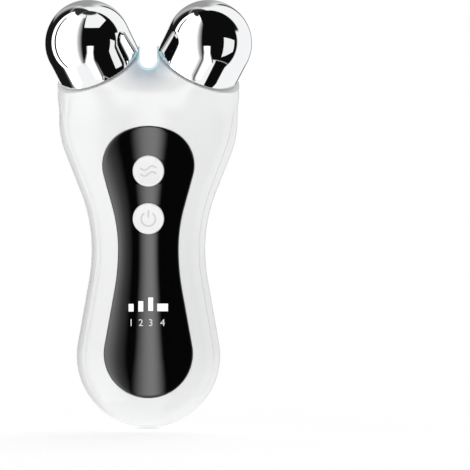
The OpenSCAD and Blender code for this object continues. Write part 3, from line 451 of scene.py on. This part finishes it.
def make_back_housing():
    """Back shell with its fork, the flats it lies on, the charging slot and the four screw wells."""
    o = housing_half("back_shell", BACK, 2.2)
    rest = extruded("rest", [(-40, -2), (40, -2), (40, 125.8), (-40, 125.8)], 14.6, 25)
    slot = round_slot(9.44, 3.66, -1.4)
    n = len(slot)
    ends = [np.column_stack([slot, np.full(n, z)]) for z in (-1, 3.9)]
    sides = [(i, (i + 1) % n, n + (i + 1) % n, n + i) for i in range(n)]
    port = put("port", np.concatenate(ends), [*sides, range(n), range(n, 2 * n)], smooth=False)
    stem = extruded("stem", [(-1.52, 112), (1.52, 112), (1.52, 117.4), (-1.52, 117.4)], -4.42, -1.88)
    wells = ((-19.5, 97), (19.5, 97), (-13, 19), (13, 19))
    bores = [extruded("bore", circle(x, z, 2.1, 48), 8, 22) for x, z in wells]
    carve(o, [*head_cutters(), rest, port, stem, *bores])
    polish(o)
    return o


def make_panel():
    """The panel's solid, its front edge rounded by 0.35 mm."""
    r = 0.35
    turn = np.radians(np.arange(0, 91, 15))
    edge = [(r * (1 - math.cos(t)), 0, -0.15 + r * (1 - math.sin(t))) for t in turn]
    front = [(r, s, -0.15) for s in SHARES[::-1]]
    back = [(0, s, 0.95) for s in SHARES] + [(0, 0, 0.95)]
    o = panel_body("panel_glass", back + edge + front)
    carve(o, front_openings(0.08, 5.18))
    crease(o, 35)
    return o


def crease(obj, angle=30):
    """Smooth faces with sharp edges where two faces meet at more than the angle, in degrees."""
    mesh = obj.data
    mesh.polygons.foreach_set("use_smooth", np.ones(len(mesh.polygons), bool))
    mesh.set_sharp_from_angle(angle=math.radians(angle))
    mesh.update()


# ---- Rollers and buttons ----


def make_roller(name, side):
    """Bullet shell: a lip of 0.4 mm, a straight barrel, a half ball, and the same inside 1.2 mm in."""
    lip = [(13.8 + 0.4 * math.sin(t), 0.75 - 0.4 * math.cos(t)) for t in np.radians(np.arange(0, 91, 15))]
    turn = np.radians(np.linspace(0, 90, 49))
    barrel = [(ROLLER_R, 2.5), (ROLLER_R, 5.0), (ROLLER_R, 7.0)]
    dome = [(ROLLER_R * math.cos(t), REACH + ROLLER_R * math.sin(t)) for t in turn]
    inside = [(13.0 * math.cos(t), REACH + 13.0 * math.sin(t)) for t in turn[::-3]]
    profile = lip + barrel + dome + inside + [(13.0, 0.35), (13.8, 0.35)]
    o = closed_lathe(name, side, profile, 192)
    crease(o, 40)
    return o


def y_lathe(name, z, profile, turns=96):
    """A turned solid about a line along y at height z, from a profile of (radius, depth)."""
    g = lathe(profile, turns)
    p = np.stack([g[..., 0], g[..., 2], z + g[..., 1]], axis=-1)
    o = put(name, p.reshape(-1, 3), grid_faces(len(g), turns, closed=True))
    crease(o, 40)
    return o


def button_face(z):
    """Depth of a button's face: 0.75 mm in front of the housing's own surface at its middle."""
    return float(surface_y(0.0, z)) - 0.75


def make_button(name, z):
    """Cap with an edge rounded by 0.35 mm and a face dished by 0.12 mm, its flange and its stem."""
    a = np.arange(8) * math.pi / 4
    seat = float(surface_y(6.2 * np.cos(a), z + 6.2 * np.sin(a), FRONT, -2.6).max()) + 0.1
    y = button_face(z)
    dish = [(r, y + 0.12 * (1 - (r / 4.4) ** 2)) for r in np.linspace(0, 4.4, 12)]
    turn = np.radians(np.arange(0, 91, 15))
    edge = [(4.7 + 0.35 * math.sin(t), y + 0.35 * (1 - math.cos(t))) for t in turn]
    rest = [(5.05, seat), (6.2, seat), (6.2, seat + 0.9), (1.6, seat + 0.9), (1.6, -9.0), (0, -9.0)]
    return y_lathe(name, z, dish + edge + rest)


def strip(name, path, width, depth, thick=0.05):
    """A flat mark: a band of the given width along a path of (x, z), its front depth(x, z) deep."""
    p = np.asarray(path, float)
    along = np.gradient(p, axis=0)
    aside = np.stack([-along[:, 1], along[:, 0]], axis=-1)
    aside *= width / 2 / np.linalg.norm(aside, axis=-1, keepdims=True)
    ring = [p - aside, p + aside]
    y = [depth(q[:, 0], q[:, 1]) for q in ring]
    rows = [np.stack([q[:, 0], d + t, q[:, 1]], axis=-1) for q, d, t in
            ((ring[0], y[0], 0), (ring[1], y[1], 0), (ring[1], y[1], thick), (ring[0], y[0], thick))]
    n = len(p)
    faces = [*grid_faces(4, n), *[(3 * n + i, 3 * n + i + 1, i + 1, i) for i in range(n - 1)]]
    faces += [(0, n, 2 * n, 3 * n), (n - 1, 4 * n - 1, 3 * n - 1, 2 * n - 1)]
    return put(name, np.concatenate(rows), faces, smooth=False)


def join(name, parts):
    """One object from several, named for the first one's place in the list."""
    with bpy.context.temp_override(active_object=parts[0], selected_editable_objects=parts):
        bpy.ops.object.join()
    parts[0].name = parts[0].data.name = name
    return parts[0]


def dish_depth(z0):
    """Depth of a mark at x, z on the dished face of the button at height z0."""
    y = button_face(z0)
    return lambda x, z: y - 0.015 + 0.12 * (1 - np.minimum(1, (x**2 + (z - z0) ** 2) / 4.4**2))


def power_mark(z0):
    """An open ring with an upright stroke in its gap."""
    t = np.radians(np.linspace(125, 415, 49))
    ring = np.stack([2.3 * np.cos(t), z0 - 0.15 + 2.3 * np.sin(t)], axis=-1)
    stroke = np.stack([np.zeros(5), np.linspace(z0 + 0.3, z0 + 2.7, 5)], axis=-1)
    depth = dish_depth(z0)
    return join("power_mark", [strip("ring", ring, 0.55, depth), strip("stroke", stroke, 0.55, depth)])


def wave_mark(z0):
    """Two sine waves, one above the other, for the choice of pulse."""
    x = np.linspace(-2.6, 2.6, 49)
    depth = dish_depth(z0)
    waves = [strip("wave", np.stack([x, z0 + c + 0.7 * np.sin(x * 2 * math.pi / 5.2)], axis=-1), 0.55, depth)
             for c in (0.95, -0.95)]
    return join("wave_mark", waves)


def level_marks():
    """The four lit marks: bars whose front follows the panel."""
    parts = []
    for a, b, low, high in BARS:
        x, z = np.linspace(a, b, 9), np.linspace(low, high, 5)
        gx, gz = np.meshgrid(x, z)
        top = np.stack([gx, surface_y(gx, gz) - 0.17, gz], axis=-1).reshape(-1, 3)
        deep = top * [1, 0, 1] + [0, -10.4, 0]
        n = len(top)
        edge = [*range(9), *range(17, 45, 9), *range(43, 35, -1), *range(27, 0, -9)]
        sides = [(i, j, n + j, n + i) for i, j in zip(edge, edge[1:] + edge[:1])]
        faces = [*grid_faces(5, 9), *grid_faces(5, 9, n, True), *sides]
        parts.append(put("bar", np.concatenate([top, deep]), faces, False))
    return join("level_marks", parts)


def numerals():
    """The plain numbers 1 to 4 under the marks, bent to the panel's front."""
    parts = []
    for k, (a, b, _, _) in enumerate(BARS):
        curve = bpy.data.curves.new("numeral", "FONT")
        curve.body, curve.size, curve.align_x = str(k + 1), 3.2, "CENTER"
        curve.extrude, curve.resolution_u = 0.02, 6
        o = bpy.data.objects.new("numeral", curve)
        bpy.context.scene.collection.objects.link(o)
        mesh = bpy.data.meshes.new_from_object(o.evaluated_get(bpy.context.evaluated_depsgraph_get()))
        bpy.data.objects.remove(o)
        co = np.empty(len(mesh.vertices) * 3)
        mesh.vertices.foreach_get("co", co)
        x, z, y = co.reshape(-1, 3).T
        x, z = x + (a + b) / 2, z + 33.9
        p = np.stack([x, surface_y(x, z) - 0.17 - y, z], axis=-1)
        faces = [tuple(f.vertices) for f in mesh.polygons]
        parts.append(put("numeral", p, faces, False, merge=1e-8))
    return join("numerals", parts)


# ---- Finishes ----


def node_group(name, inputs, outputs):
    """An empty node group with its sockets, and the nodes that stand for them."""
    g = bpy.data.node_groups.new(name, "ShaderNodeTree")
    for label, kind, value in inputs:
        s = g.interface.new_socket(label, in_out="INPUT", socket_type=kind)
        if value is not None:
            s.default_value = value
    for label, kind in outputs:
        g.interface.new_socket(label, in_out="OUTPUT", socket_type=kind)
    return g, g.nodes.new("NodeGroupInput"), g.nodes.new("NodeGroupOutput")


SKIN_INPUTS = [("Vector", "NodeSocketVector", None), ("Scale", "NodeSocketFloat", 60.0)]
SKIN_OUTPUTS = [("Mottle", "NodeSocketFloat"), ("Height", "NodeSocketFloat")]


def moulded_group():
    """Moulded plastic: slow mottle from one noise, and a fine skin from a second."""
    g, a, z = node_group("Moulded skin", SKIN_INPUTS, SKIN_OUTPUTS)
    slow, fine = g.nodes.new("ShaderNodeTexNoise"), g.nodes.new("ShaderNodeTexNoise")
    slow.inputs["Detail"].default_value = 2
    fine.inputs["Detail"].default_value = 4
    up = g.nodes.new("ShaderNodeMath")
    up.operation, up.inputs[1].default_value = "MULTIPLY", 14
    for n in (slow, fine):
        g.links.new(a.outputs["Vector"], n.inputs["Vector"])
    g.links.new(a.outputs["Scale"], slow.inputs["Scale"])
    g.links.new(a.outputs["Scale"], up.inputs[0])
    g.links.new(up.outputs[0], fine.inputs["Scale"])
    g.links.new(slow.outputs["Fac"], z.inputs["Mottle"])
    g.links.new(fine.outputs["Fac"], z.inputs["Height"])
    return g


def drawn_group():
    """Drawn or turned metal: noise stretched 24 times along one direction."""
    g, a, z = node_group("Drawn lines", SKIN_INPUTS, SKIN_OUTPUTS)
    flat = g.nodes.new("ShaderNodeMapping")
    flat.inputs["Scale"].default_value = (1, 1, 24)
    n = g.nodes.new("ShaderNodeTexNoise")
    n.inputs["Detail"].default_value = 5
    g.links.new(a.outputs["Vector"], flat.inputs["Vector"])
    g.links.new(flat.outputs["Vector"], n.inputs["Vector"])
    g.links.new(a.outputs["Scale"], n.inputs["Scale"])
    g.links.new(n.outputs["Fac"], z.inputs["Mottle"])
    g.links.new(n.outputs["Fac"], z.inputs["Height"])
    return g


def glow_group():
    """How near a point is to the lit notch, for the painted light and painted shade around it: 1 within the
    first distance, 0 from the second on.
    """
    g, a, z = node_group("Notch glow", [("Vector", "NodeSocketVector", None)], [("Near", "NodeSocketFloat")])
    flat = g.nodes.new("ShaderNodeMapping")
    flat.vector_type = "POINT"
    flat.inputs["Location"].default_value = (0, 0.0012, -0.1205)
    flat.inputs["Scale"].default_value = (1, 0.3, 1)
    size = g.nodes.new("ShaderNodeVectorMath")
    size.operation = "LENGTH"
    fall = g.nodes.new("ShaderNodeMapRange")
    fall.interpolation_type = "SMOOTHERSTEP"
    for k, v in (("From Min", 0.004), ("From Max", 0.0125), ("To Min", 1), ("To Max", 0)):
        fall.inputs[k].default_value = v
    g.links.new(a.outputs["Vector"], flat.inputs["Vector"])
    g.links.new(flat.outputs["Vector"], size.inputs[0])
    g.links.new(size.outputs["Value"], fall.inputs["Value"])
    g.links.new(fall.outputs["Result"], z.inputs["Near"])
    return g


def tip_group():
    """The light guide's tips, where its light is made stronger as a painted highlight on the prong faces: 1
    from 3.9 mm off the middle plane on, 0 within 3.7 mm of it.
    """
    g, a, z = node_group("Guide tips", [("Vector", "NodeSocketVector", None)], [("Tip", "NodeSocketFloat")])
    split, off, rise = (g.nodes.new("ShaderNode" + k) for k in ("SeparateXYZ", "Math", "MapRange"))
    off.operation = "ABSOLUTE"
    rise.inputs["From Min"].default_value, rise.inputs["From Max"].default_value = 0.0037, 0.0039
    g.links.new(a.outputs["Vector"], split.inputs[0])
    g.links.new(split.outputs["X"], off.inputs[0])
    g.links.new(off.outputs[0], rise.inputs["Value"])
    g.links.new(rise.outputs["Result"], z.inputs["Tip"])
    return g


GROUPS = {"moulded": moulded_group(), "drawn": drawn_group()}
GLOW, TIPS = glow_group(), tip_group()


def finish(name, colour, rough, kind="moulded", scale=60.0, tint=0.03, bump=0.03, metal=0.0, coat=0.0,
           glow=None, emit=None, dim=None):
    """A material whose colour, roughness and bump follow a group's mottle and height.

    rough is the least and the most roughness, tint how far the colour strays from its own, bump
    the skin's depth in hundredths of a millimetre, glow the strength of the notch's painted light on it,
    near which the colour is also darkened to a blue-grey as painted shade.
    emit is its own light's colour and strength, dim the colour of that light away from the tips,
    so that the brighter tips are partly a painted highlight.
    """
    m = bpy.data.materials.new(name)
    m.use_nodes = True
    t = m.node_tree
    shader = t.nodes["Principled BSDF"]
    shader.inputs["Metallic"].default_value = metal
    shader.inputs["Coat Weight"].default_value = coat
    shader.inputs["Coat Roughness"].default_value = 0.03
    place = t.nodes.new("ShaderNodeTexCoord")
    skin = t.nodes.new("ShaderNodeGroup")
    skin.node_tree = GROUPS[kind]
    skin.inputs["Scale"].default_value = scale
    t.links.new(place.outputs["Object"], skin.inputs["Vector"])
    mix = t.nodes.new("ShaderNodeMix")
    mix.data_type = "RGBA"
    c = np.array(colour)
    mix.inputs["A"].default_value = (*(c * (1 - tint)), 1)
    mix.inputs["B"].default_value = (*np.minimum(c * (1 + tint), 1), 1)
    t.links.new(skin.outputs["Mottle"], mix.inputs["Factor"])
    t.links.new(mix.outputs["Result"], shader.inputs["Base Color"])
    span = t.nodes.new("ShaderNodeMapRange")
    span.inputs["To Min"].default_value, span.inputs["To Max"].default_value = rough
    t.links.new(skin.outputs["Mottle"], span.inputs["Value"])
    t.links.new(span.outputs["Result"], shader.inputs["Roughness"])
    relief = t.nodes.new("ShaderNodeBump")
    relief.inputs["Strength"].default_value = 0.6
    relief.inputs["Distance"].default_value = bump * 1e-5
    t.links.new(skin.outputs["Height"], relief.inputs["Height"])
    t.links.new(relief.outputs["Normal"], shader.inputs["Normal"])
    if glow:
        # Near the notch the base colour turns to a darker blue-grey, which is painted shade on the fork's
        # walls, and the cyan emission is painted light from the notch.
        near = t.nodes.new("ShaderNodeGroup")
        near.node_tree = GLOW
        t.links.new(place.outputs["Object"], near.inputs["Vector"])
        lit, painted_shade = t.nodes.new("ShaderNodeMix"), t.nodes.new("ShaderNodeMix")
        lit.data_type = painted_shade.data_type = "RGBA"
        lit.inputs["A"].default_value = (0, 0, 0, 1)
        lit.inputs["B"].default_value = (0.3, 0.8, 1.0, 1)
        painted_shade.inputs["B"].default_value = (0.62, 0.64, 0.68, 1)
        t.links.new(near.outputs["Near"], lit.inputs["Factor"])
        t.links.new(near.outputs["Near"], painted_shade.inputs["Factor"])
        t.links.new(mix.outputs["Result"], painted_shade.inputs["A"])
        t.links.new(painted_shade.outputs["Result"], shader.inputs["Base Color"])
        t.links.new(lit.outputs["Result"], shader.inputs["Emission Color"])
        shader.inputs["Emission Strength"].default_value = glow
    if emit:
        shade = t.nodes.new("ShaderNodeMix")
        shade.data_type = "RGBA"
        e = np.array(emit[0])
        shade.inputs["A"].default_value = (*(dim or e * 0.9), 1)
        shade.inputs["B"].default_value = (*e, 1)
        where = skin.outputs["Mottle"]
        if dim:
            tips = t.nodes.new("ShaderNodeGroup")
            tips.node_tree = TIPS
            t.links.new(place.outputs["Object"], tips.inputs["Vector"])
            where = tips.outputs["Tip"]
        t.links.new(where, shade.inputs["Factor"])
        t.links.new(shade.outputs["Result"], shader.inputs["Emission Color"])
        shader.inputs["Emission Strength"].default_value = emit[1]
    return m


FINISHES = {
    # The white shell's glow near the notch is painted light, and its blue-grey there is painted shade.
    "white_shell": finish("Glossy white shell", (0.84, 0.843, 0.845), (0.13, 0.2), tint=0.012, glow=0.06),
    "button_white": finish("Satin white cap", (0.88, 0.88, 0.88), (0.24, 0.32), scale=120, tint=0.015),
    "black_gloss": finish("Black panel gloss", (0.0015, 0.0015, 0.0018), (0.04, 0.07), tint=0.1,
                          bump=0.01, coat=0.6),
    "mirror_chrome": finish("Mirror chrome", (0.9, 0.905, 0.915), (0.015, 0.03), tint=0.01,
                            bump=0.005, metal=1),
    # The liner is lit, but its blue-grey base, darker than the shell, is painted shade of the slot's walls,
    # and its brighter tips are partly painted highlight.
    "notch_glow": finish("Lit clear liner", (0.62, 0.72, 0.76), (0.15, 0.25),
                         emit=((0.75, 0.95, 1.0), 0.6), dim=(0.13, 0.27, 0.32)),
    "light_guide": finish("Lit level marks", (0.85, 0.86, 0.86), (0.25, 0.35),
                          emit=((0.9, 0.93, 0.93), 0.35)),
    "lamp": finish("Lamp lens", (0.9, 0.88, 0.7), (0.1, 0.2)),
    "adhesive": finish("Glue film", (0.6, 0.6, 0.56), (0.5, 0.7)),
    "black_matte": finish("Matt black plastic", (0.03, 0.03, 0.033), (0.45, 0.6), scale=200, bump=0.3),
    "board": finish("Lacquered board", (0.015, 0.16, 0.07), (0.25, 0.4), scale=90, tint=0.15),
    "steel": finish("Bright steel", (0.6, 0.6, 0.62), (0.2, 0.34), "drawn", 120, metal=1),
    "nickel": finish("Nickel strip", (0.66, 0.64, 0.6), (0.25, 0.4), "drawn", 160, metal=1),
    "ferrite": finish("Ferrite core", (0.07, 0.065, 0.065), (0.5, 0.7), scale=300, bump=0.5),
    "battery_foil": finish("Battery foil", (0.62, 0.64, 0.66), (0.3, 0.5), scale=140, bump=0.6, metal=0.8),
    "foam": finish("Foam tape", (0.06, 0.06, 0.06), (0.85, 0.95), scale=500, bump=2.0, tint=0.2),
    "cast_alloy": finish("Cast alloy", (0.6, 0.6, 0.61), (0.4, 0.55), scale=220, bump=1.0, metal=1),
    "core_plastic": finish("Core plastic", (0.7, 0.7, 0.68), (0.4, 0.55), scale=120, bump=0.2),
    "bronze": finish("Sintered bronze", (0.5, 0.33, 0.15), (0.4, 0.55), scale=600, bump=0.5, metal=1),
    "seal_rubber": finish("Seal rubber", (0.02, 0.02, 0.02), (0.6, 0.75), scale=200, bump=0.3),
    "spring_brass": finish("Spring brass", (0.72, 0.53, 0.24), (0.2, 0.35), "drawn", 160, metal=1),
}
MARK_GREY = finish("Mark grey", (0.66, 0.66, 0.67), (0.4, 0.5), scale=200)
MARK_WHITE = finish("Printed white", (0.8, 0.8, 0.8), (0.4, 0.5), scale=200)

# ---- Dressing ----


def dress(piece, body, slot, nodes=(), material=None):
    """Gives a piece its finish and its body, and hides the CAD nodes that it stands for."""
    piece.data.materials.clear()
    piece.data.materials.append(material or FINISHES[slot])
    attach(piece, body)
    if nodes:
        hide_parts(*nodes)


for entry in frame["record"]["subparts"]:
    for s in frame["nodes"][entry["node"]].material_slots:
        s.material = FINISHES[entry["material_slot"]]

dress(make_front_housing(), "housing", "white_shell", ["front_housing"])
dress(make_back_housing(), "housing", "white_shell", ["back_housing"])
dress(make_panel(), "housing", "black_gloss", ["front_panel"])
dress(level_marks(), "housing", "light_guide", ["level_light_guide"])
dress(numerals(), "housing", "light_guide", material=MARK_WHITE)
for side, name in ((-1, "left_roller"), (1, "right_roller")):
    dress(make_roller(name + "_mirror", side), name, "mirror_chrome", [name + "_shell"])
for name, z, mark in (("mode_button", MODE_Z, wave_mark), ("power_button", POWER_Z, power_mark)):
    dress(make_button(name + "_cap", z), name, "button_white", [name])
    dress(mark(z), name, "button_white", material=MARK_GREY)

# ---- Studio ----


def card_finish():
    """Light from a card: its strength and how solid it is are painted on its points."""
    m = bpy.data.materials.new("Studio card")
    m.use_nodes = True
    t = m.node_tree
    t.nodes.clear()
    shine, solid, clear, glow, mix, out = (t.nodes.new("ShaderNode" + k) for k in (
        "Attribute", "Attribute", "BsdfTransparent", "Emission", "MixShader", "OutputMaterial"))
    shine.attribute_name, solid.attribute_name = "shine", "solid"
    t.links.new(shine.outputs["Fac"], glow.inputs["Strength"])
    t.links.new(solid.outputs["Fac"], mix.inputs[0])
    t.links.new(clear.outputs[0], mix.inputs[1])
    t.links.new(glow.outputs[0], mix.inputs[2])
    t.links.new(mix.outputs[0], out.inputs["Surface"])
    return m


CARD = card_finish()


def hang(name, points, shine, solid):
    """A card over a grid of points in metres, seen only in reflections."""
    rows, cols = points.shape[:2]
    mesh = bpy.data.meshes.new(name)
    mesh.from_pydata(points.reshape(-1, 3).tolist(), [], grid_faces(rows, cols).tolist())
    for label, values in (("shine", shine), ("solid", solid)):
        layer = mesh.attributes.new(label, "FLOAT", "POINT")
        layer.data.foreach_set("value", np.broadcast_to(values, (rows, cols)).astype(np.float32).ravel())
    mesh.materials.append(CARD)
    o = bpy.data.objects.new(name, mesh)
    bpy.context.scene.collection.objects.link(o)
    o.visible_camera = o.visible_diffuse = o.visible_shadow = o.visible_transmission = False


def card(name, around, up, shine, fade=(0, 0, 0, 0), distance=0.7):
    """A piece of a sphere about the object between two turns and two heights in degrees, turn 0 at
    the camera and growing to its right. shine is its strength, or (turn, strength) pairs that it
    follows. It fades out over the given degrees at its left, right, lower and upper edges."""
    a, e = np.linspace(*around, 65), np.linspace(*up, 49)
    e, a = np.meshgrid(e, a, indexing="ij")
    edges = zip((a - around[0], around[1] - a, e - up[0], up[1] - e), fade)
    solid = np.prod([between(0, 1, d / f) if f else np.ones_like(d) for d, f in edges], axis=0)
    level = np.interp(a, *zip(*shine)) if isinstance(shine, tuple) else shine
    a, e = np.radians(a), np.radians(e)
    way = np.stack([np.sin(a) * np.cos(e), -np.cos(a) * np.cos(e), np.sin(e)], axis=-1)
    hang(name, way * distance + [0, 0, 0.12], level, solid)


def upright(name, across, y, heights, shine):
    """A flat card that stands between two x and two heights, at the y of each side."""
    x, z = np.meshgrid(np.linspace(*across, 3), np.linspace(*heights, 3))
    hang(name, np.stack([x, np.interp(x, across, y), z], axis=-1), shine, 1)


def level(name, across, depths, z, shine):
    """A flat card that lies at one height."""
    x, y = np.meshgrid(np.linspace(*across, 3), np.linspace(*depths, 3))
    hang(name, np.stack([x, y, np.full_like(x, z)], axis=-1), shine, 1)


def front_strip():
    """The upright strip light in front, wider towards its foot. Across it, its strength is
    2.8 (1 - t^2)^2, where t is the share of the way from its brightest line to its edge."""
    s, z = np.meshgrid(np.linspace(-1, 1, 65), np.linspace(-0.15, 0.09, 21))
    half = 0.036 * (1 + 7.2 * np.maximum(0, 0.024 - z))
    points = np.stack([0.001 + half * s, np.full_like(s, -0.19), z], axis=-1)
    t = np.where(s < 0.14, (s - 0.14) / 1.14, (s - 0.14) / 0.86)
    hang("Front strip", points, 2.8 * (1 - t * t) ** 2, 1)


def lamp(name, place, aim, size, power):
    """A soft oblong lamp that shines from place towards aim and isn't seen in reflections."""
    light = bpy.data.lights.new(name, "AREA")
    light.shape, light.size, light.size_y, light.energy = "RECTANGLE", size[0], size[1], power
    o = bpy.data.objects.new(name, light)
    bpy.context.scene.collection.objects.link(o)
    o.location = place
    o.rotation_mode = "QUATERNION"
    o.rotation_quaternion = (Vector(aim) - Vector(place)).to_track_quat("-Z", "Y")
    o.visible_glossy = False
    return o


def make_world():
    """White to the camera and to reflections, and a softer grey as the light that falls on things."""
    w = bpy.data.worlds.new("Studio")
    bpy.context.scene.world = w
    w.use_nodes = True
    t = w.node_tree
    t.nodes.clear()
    path, out = t.nodes.new("ShaderNodeLightPath"), t.nodes.new("ShaderNodeOutputWorld")
    seen, seen_too = t.nodes.new("ShaderNodeMath"), t.nodes.new("ShaderNodeMath")
    seen.operation = seen_too.operation = "MAXIMUM"
    t.links.new(path.outputs["Is Camera Ray"], seen.inputs[0])
    t.links.new(path.outputs["Is Glossy Ray"], seen.inputs[1])
    t.links.new(seen.outputs[0], seen_too.inputs[0])
    t.links.new(path.outputs["Is Transmission Ray"], seen_too.inputs[1])
    soft, white, mix = (t.nodes.new("ShaderNode" + k) for k in ("Background", "Background", "MixShader"))
    soft.inputs["Strength"].default_value = 0.5
    white.inputs["Strength"].default_value = 1
    for n in (soft, white):
        n.inputs["Color"].default_value = (1, 1, 1, 1)
    t.links.new(seen_too.outputs[0], mix.inputs[0])
    t.links.new(soft.outputs[0], mix.inputs[1])
    t.links.new(white.outputs[0], mix.inputs[2])
    t.links.new(mix.outputs[0], out.inputs["Surface"])


def make_floor():
    """A wide pale floor that keeps the shadow near the object and turns to plain white further off,
    where the camera sees it. It gives more light to the object than to the camera, and reflections
    see the white world instead of it."""
    s = 3000
    o = put("floor", [(-s, -s, -0.2), (s, -s, -0.2), (s, s, -0.2), (-s, s, -0.2)], [(0, 1, 2, 3)])
    m = bpy.data.materials.new("Pale floor")
    m.use_nodes = True
    t = m.node_tree
    shader = t.nodes["Principled BSDF"]
    shader.inputs["Base Color"].default_value = (0.88, 0.88, 0.88, 1)
    shader.inputs["Emission Color"].default_value = (1, 1, 1, 1)
    shader.inputs["Roughness"].default_value = 0.9
    place, size, far, share, path, lift, glow, mix = (t.nodes.new("ShaderNode" + k) for k in (
        "TexCoord", "VectorMath", "MapRange", "Math", "LightPath", "MapRange", "Emission", "MixShader"))
    size.operation = "LENGTH"
    far.interpolation_type = "SMOOTHSTEP"
    for k, v in (("From Min", 0.03), ("From Max", 0.17), ("To Min", 0.25), ("To Max", 1)):
        far.inputs[k].default_value = v
    lift.inputs["To Min"].default_value, lift.inputs["To Max"].default_value = 0.42, 0.38
    t.links.new(path.outputs["Is Camera Ray"], lift.inputs["Value"])
    t.links.new(lift.outputs["Result"], shader.inputs["Emission Strength"])
    share.operation = "MULTIPLY"
    t.links.new(place.outputs["Object"], size.inputs[0])
    t.links.new(size.outputs["Value"], far.inputs["Value"])
    t.links.new(far.outputs["Result"], share.inputs[0])
    t.links.new(path.outputs["Is Camera Ray"], share.inputs[1])
    t.links.new(share.outputs[0], mix.inputs[0])
    t.links.new(shader.outputs[0], mix.inputs[1])
    t.links.new(glow.outputs[0], mix.inputs[2])
    t.links.new(mix.outputs[0], t.nodes["Material Output"].inputs["Surface"])
    o.data.materials.append(m)
    o.visible_glossy = False


def make_camera():
    """Level and square to the button face; the shift puts the object left of the picture's middle."""
    width, lens = 0.1537, 200
    data = bpy.data.cameras.new("Camera")
    data.lens, data.sensor_width = lens, 36
    data.shift_x = 28.33 / 153.7
    data.clip_start, data.clip_end = 0.05, 10
    o = bpy.data.objects.new("Camera", data)
    o.location = (0, -lens / 36 * width - 0.002, 0.06338)
    o.rotation_euler = (math.radians(90), 0, 0)
    bpy.context.scene.collection.objects.link(o)
    bpy.context.scene.camera = o


make_world()
make_floor()
make_camera()
lamp("Key", (-0.35, -0.6, 0.5), (0, 0, 0.07), (0.5, 0.5), 0.3)
lamp("Low front", (0, -0.5, 0.08), (0, 0, 0.0), (0.9, 0.12), 0.6)
lamp("Back", (0.25, 0.6, 0.4), (0, 0, 0.07), (0.6, 0.5), 1.0)
lamp("Left side", (-0.6, -0.05, 0.07), (0, 0, 0.05), (0.5, 0.4), 0.35)
lamp("Right side", (0.6, -0.05, 0.07), (0, 0, 0.05), (0.5, 0.4), 0.45)
card("Left softbox", (-108, -16), (-58, 66),
     ((-108, 2.2), (-45, 2.3), (-38, 1.9), (-27, 0.65), (-21, 0.3), (-18, 0.1), (-16, 0)), (0, 0, 4, 3))
card("Softbox frame", (-99, -91), (-50, 52), 0.02, (1, 1, 3, 3), distance=0.68)
card("Dark front", (-16, 81), (-48, 37), 0.004, (0, 3, 3, 0))
card("Dark low right", (26, 81), (-74, -47), 0.004, (2, 3, 3, 0))
card("Dark post", (-17, -12), (36, 74), 0.004)
card("Dark edge", (72, 95), (20, 74), 0.01, (1, 5, 6, 0))
card("Dark behind left", (-157, -110), (-52, 24), 0.01, (3, 0, 14, 0))
card("Dark behind left, upper", (-160, -110), (23.9, 62), 0.01, (30, 0, 0, 8))
card("Grey behind left", (-212, -140), (10, 78), 0.35, (34, 20, 12, 10), 0.74)
card("Dark over left", (-150, -58), (54, 90), 0.03, (20, 6, 8, 0))
card("Dark overhead", (-60, 96), (72, 90), 0.03, (0, 10, 5, 0))
card("Dark behind right", (150, 162), (-40, 62), 0.02, (6, 2, 30, 16))
front_strip()
upright("Right window", (0.053, 0.13), (-0.053,) * 2, (0.085, 0.136), 0.95)
level("Dark plate", (0.008, 0.075), (-0.06, -0.014), 0.16, 0.004)

view = bpy.context.scene.view_settings
view.view_transform = "Standard"
